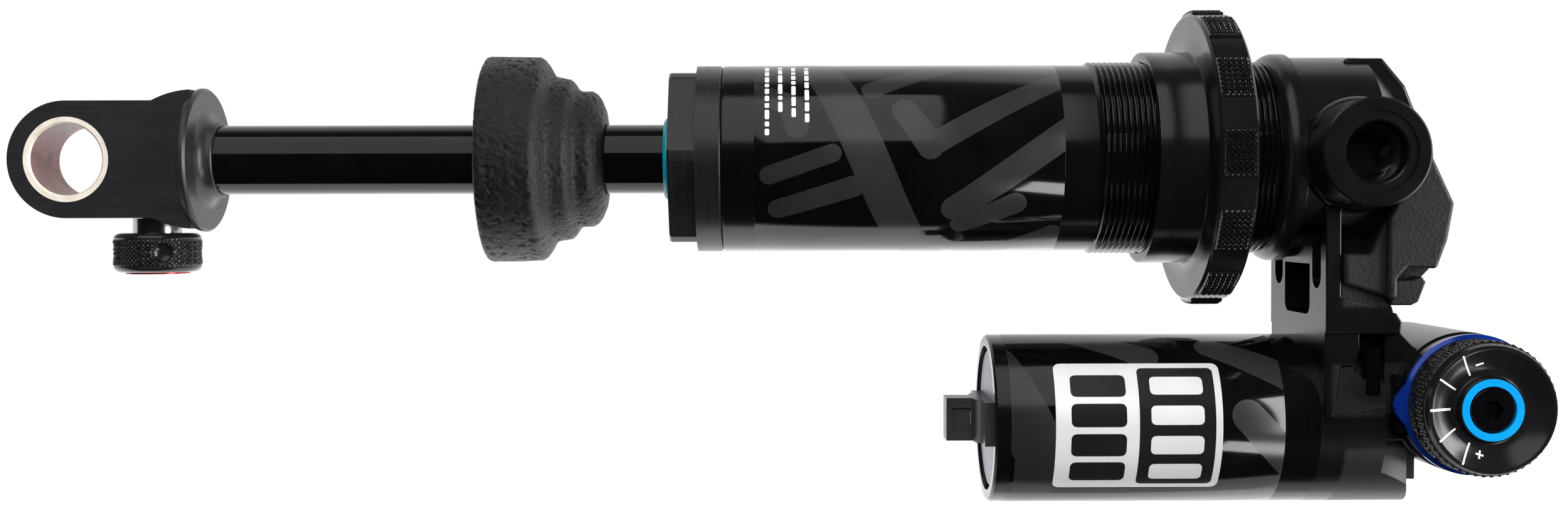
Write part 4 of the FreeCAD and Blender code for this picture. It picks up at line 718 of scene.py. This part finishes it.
def dial_stroke(name, start, end, width):
    """A painted line on the dished face, between two (across, up) spots from the dial's middle."""
    length = math.dist(start, end)
    way = ((end[0] - start[0]) / length, (end[1] - start[1]) / length)
    top, bottom = [], []
    for number in range(15):
        spot = [a + (b - a) * number / 14 for a, b in zip(start, end)]
        row_top, row_bottom = [], []
        for side in (-0.5, 0.0, 0.5):
            across = spot[0] - way[1] * width * side
            up = spot[1] + way[0] * width * side
            radius, angle = math.hypot(across, up), math.atan2(up, across)
            row_top.append(on_dials(dish_height(radius) + 0.05, radius, angle))
            row_bottom.append(on_dials(dish_height(radius) - 0.02, radius, angle))
        top.append(row_top)
        bottom.append(row_bottom)
    return make(name, *slab_mesh(top, bottom), MARK_WHITE, "grey_cap", "low_speed_dial")


TICKS = ((120, 10.4, TICK_WIDTH), (150, 10.4, TICK_WIDTH), (180, 10.6, 0.42), (210, 10.4, TICK_WIDTH),
         (240, 10.4, TICK_WIDTH))
for number, (angle, outer, width) in enumerate(TICKS):
    way = (math.cos(math.radians(angle)), math.sin(math.radians(angle)))
    dial_stroke(f"dial_tick_{number}", tuple(part * TICK_START for part in way),
                tuple(part * outer for part in way), width)
dial_stroke("dial_minus", (-2.55, 7.35), (-1.25, 7.75), TICK_WIDTH)
dial_stroke("dial_plus_along", (-2.45, -7.35), (-1.15, -7.75), SIGN_WIDTH)
dial_stroke("dial_plus_across", (-2.0, -8.2), (-1.6, -6.9), SIGN_WIDTH)


# ---- bump stop ----

FOAM_INSIDE = 8.0


def foam_relief(along, radius, angle):
    """Soft unevenness and small open pores on the foam's outside."""
    if radius < FOAM_INSIDE:
        return along, radius
    spot = on_tube(along, radius, angle) * 1000.0
    swell = noise.noise(spot * 0.22) * 0.10
    pitted = max(0.0, noise.noise(spot * 1.15) - 0.22) * 0.75 + max(0.0,
                                                                    noise.noise(spot * 2.3) - 0.30) * 0.45
    return along, radius - 0.10 + swell - min(pitted, 0.42)


foam_profile = [
    (BUMP_STOP_START, 7.9), (75.2, 7.5), (77.4, 7.05), (77.8, 6.4, True), (95.0, 6.4), (95.1, 7.0),
                (94.9, 9.2), (94.2, 10.9),
    (93.5, 11.8), (92.65, 12.3), (90.9, 12.3),
    (90.3, 12.55), (89.4, 13.9), (88.8, 14.45), (86.7, 14.85), (86.0, 15.1), (85.5, 15.9), (84.9, 17.0),
                (84.2, 17.9),
    (83.5, 18.35), (79.0, 18.5), (74.8, 18.57), (74.25, 18.4), (BUMP_STOP_START, 17.9)]
bumper = make("bump_stop_foam", *turned_mesh(fine_loop(foam_profile, 0.42), even_angles(270), on_tube,
                                             foam_relief),
              MATERIALS["foam_rubber"], "foam_rubber", "bumper", ["bump_stop"], sharp=70.0)
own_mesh(bumper)


# ---- trunnion threads ----

def boss_thread_relief(along, radius, angle):
    """The thread in the trunnion's bores."""
    if radius > BOSS_THREAD_CREST + 0.01:
        return along, radius
    return along, radius - BOSS_THREAD_DEPTH * min(1.0, max(0.0,
                                                            wave(along / BOSS_THREAD_PITCH - angle / TURN)
                                                            - 0.12) / 0.6)


thread_loop = [(15.75, BOSS_THREAD_WALL), (22.95, BOSS_THREAD_WALL),
               *[(BOSS_THREAD_OUTER - THREAD_ROW * number, BOSS_THREAD_CREST) for number in range(57)]]
for name, place in (("near", on_near_boss), ("far", on_far_boss)):
    make(f"trunnion_thread_{name}", *turned_mesh(thread_loop, even_angles(96), place, boss_thread_relief),
         MATERIALS["black_anodised"], "black_anodised", "damper")


# ---- floor, lights and camera, in metres ----

FLOOR_GAP, FLOOR_ACROSS, FLOOR_ALONG = 0.004, (-0.6, 0.85), (-0.005, 0.4)
MIDDLE = (0.12, 0.0, -0.02)

def stage_floor():
    """A pale lit floor below and behind the shock."""
    net = Net("studio_floor")
    shade = net.ramp(net.noise(3.0, 4.0), (0.3, (0.90, 0.90, 0.90)), (0.7, (0.93, 0.93, 0.93)))
    paper = net.finish(shade, 0.7, net.bump(net.noise(900.0, 3.0), 0.00002),
                       Emission_Color=(1.0, 1.0, 1.0, 1.0),
                       Emission_Strength=1.0)
    mesh = bpy.data.meshes.new("studio_floor")
    low = CAD_BOX[0][2] - FLOOR_GAP
    (left, right), (front, back) = FLOOR_ACROSS, FLOOR_ALONG
    mesh.from_pydata([(left, front, low), (right, front, low), (right, back, low), (left, back, low)], [],
                     [(0, 1, 2, 3)])
    mesh.materials.append(paper)
    floor = bpy.data.objects.new("studio_floor", mesh)
    bpy.context.scene.collection.objects.link(floor)


def softbox(name, place, aim, size, energy, mirrored=True):
    """A rectangular lamp that faces aim; mirrored says whether it shows in glossy surfaces."""
    light = bpy.data.lights.new(name, "AREA")
    light.shape = "RECTANGLE"
    light.size, light.size_y = size
    light.energy = energy
    lamp = bpy.data.objects.new(name, light)
    lamp.location = place
    lamp.rotation_euler = (Vector(aim) - Vector(place)).to_track_quat("-Z", "Y").to_euler()
    lamp.visible_glossy = mirrored
    bpy.context.scene.collection.objects.link(lamp)


stage_floor()
softbox("soft_front_high", (-0.02, -0.38, 0.46), (-0.02, 0.0, 0.0), (0.62, 0.72), 1.65)
softbox("soft_fill", (0.10, -0.72, 0.22), MIDDLE, (0.5, 0.3), 4.6, mirrored=False)
softbox("soft_right", (0.86, -0.31, 0.03), MIDDLE, (0.36, 0.5), 5.2)
softbox("soft_right_low", (0.62, -0.30, -0.34), (0.22, 0.0, -0.03), (0.30, 0.12), 0.9)

world = bpy.data.worlds.new("studio")
bpy.context.scene.world = world
world.use_nodes = True
sky = world.node_tree
ground = sky.nodes["Background"]
ground.inputs["Color"].default_value = (1.0, 1.0, 1.0, 1.0)


def sky_math(operation, *sources):
    """One Math node of the world's tree."""
    node = sky.nodes.new("ShaderNodeMath")
    node.operation = operation
    for socket, source in zip(node.inputs, sources):
        if isinstance(source, float):
            socket.default_value = source
        else:
            sky.links.new(source, socket)
    return node.outputs[0]


seen = sky.nodes.new("ShaderNodeLightPath")
way = sky.nodes.new("ShaderNodeTexCoord")
parts = sky.nodes.new("ShaderNodeSeparateXYZ")
sky.links.new(way.outputs["Generated"], parts.inputs[0])
round_x = sky_math("ARCTAN2", parts.outputs[2], sky_math("MULTIPLY", parts.outputs[1], -1.0))
bands = sky.nodes.new("ShaderNodeValToRGB")
# The studio's walls as seen in glossy surfaces: brightness by angle about X, from 0 at the camera's side
BANDS = ((-180, 1.0), (-146, 1.0), (-142, 0.8), (-97, 0.8), (-93, 0.008), (20, 0.008), (88, 0.05),
         (105, 0.12),
         (114, 0.7), (143, 1.0), (150, 1.0), (180, 1.0))
while len(bands.color_ramp.elements) < len(BANDS):
    bands.color_ramp.elements.new(0.5)
for element, (turned_to, glow) in zip(bands.color_ramp.elements, BANDS):
    element.position = (turned_to + 180) / 360
    element.color = (glow, glow, glow, 1.0)
sky.links.new(sky_math("ADD", sky_math("MULTIPLY", round_x, 1 / TURN), 0.5), bands.inputs[0])
sky.links.new(sky_math("MAXIMUM", bands.outputs[0], seen.outputs["Is Camera Ray"]),
              ground.inputs["Strength"])

bpy.context.scene.view_settings.view_transform = "Standard"

camera_data = bpy.data.cameras.new("camera")
camera_data.lens = 38.13
camera_data.sensor_width = 36.0
camera_data.clip_start = 0.01
camera = bpy.data.objects.new("camera", camera_data)
camera.location = (0.12588, -0.30085, -0.01038)
camera.rotation_euler = degrees(88.596, 0.149, -0.227)
bpy.context.scene.collection.objects.link(camera)
bpy.context.scene.camera = camera
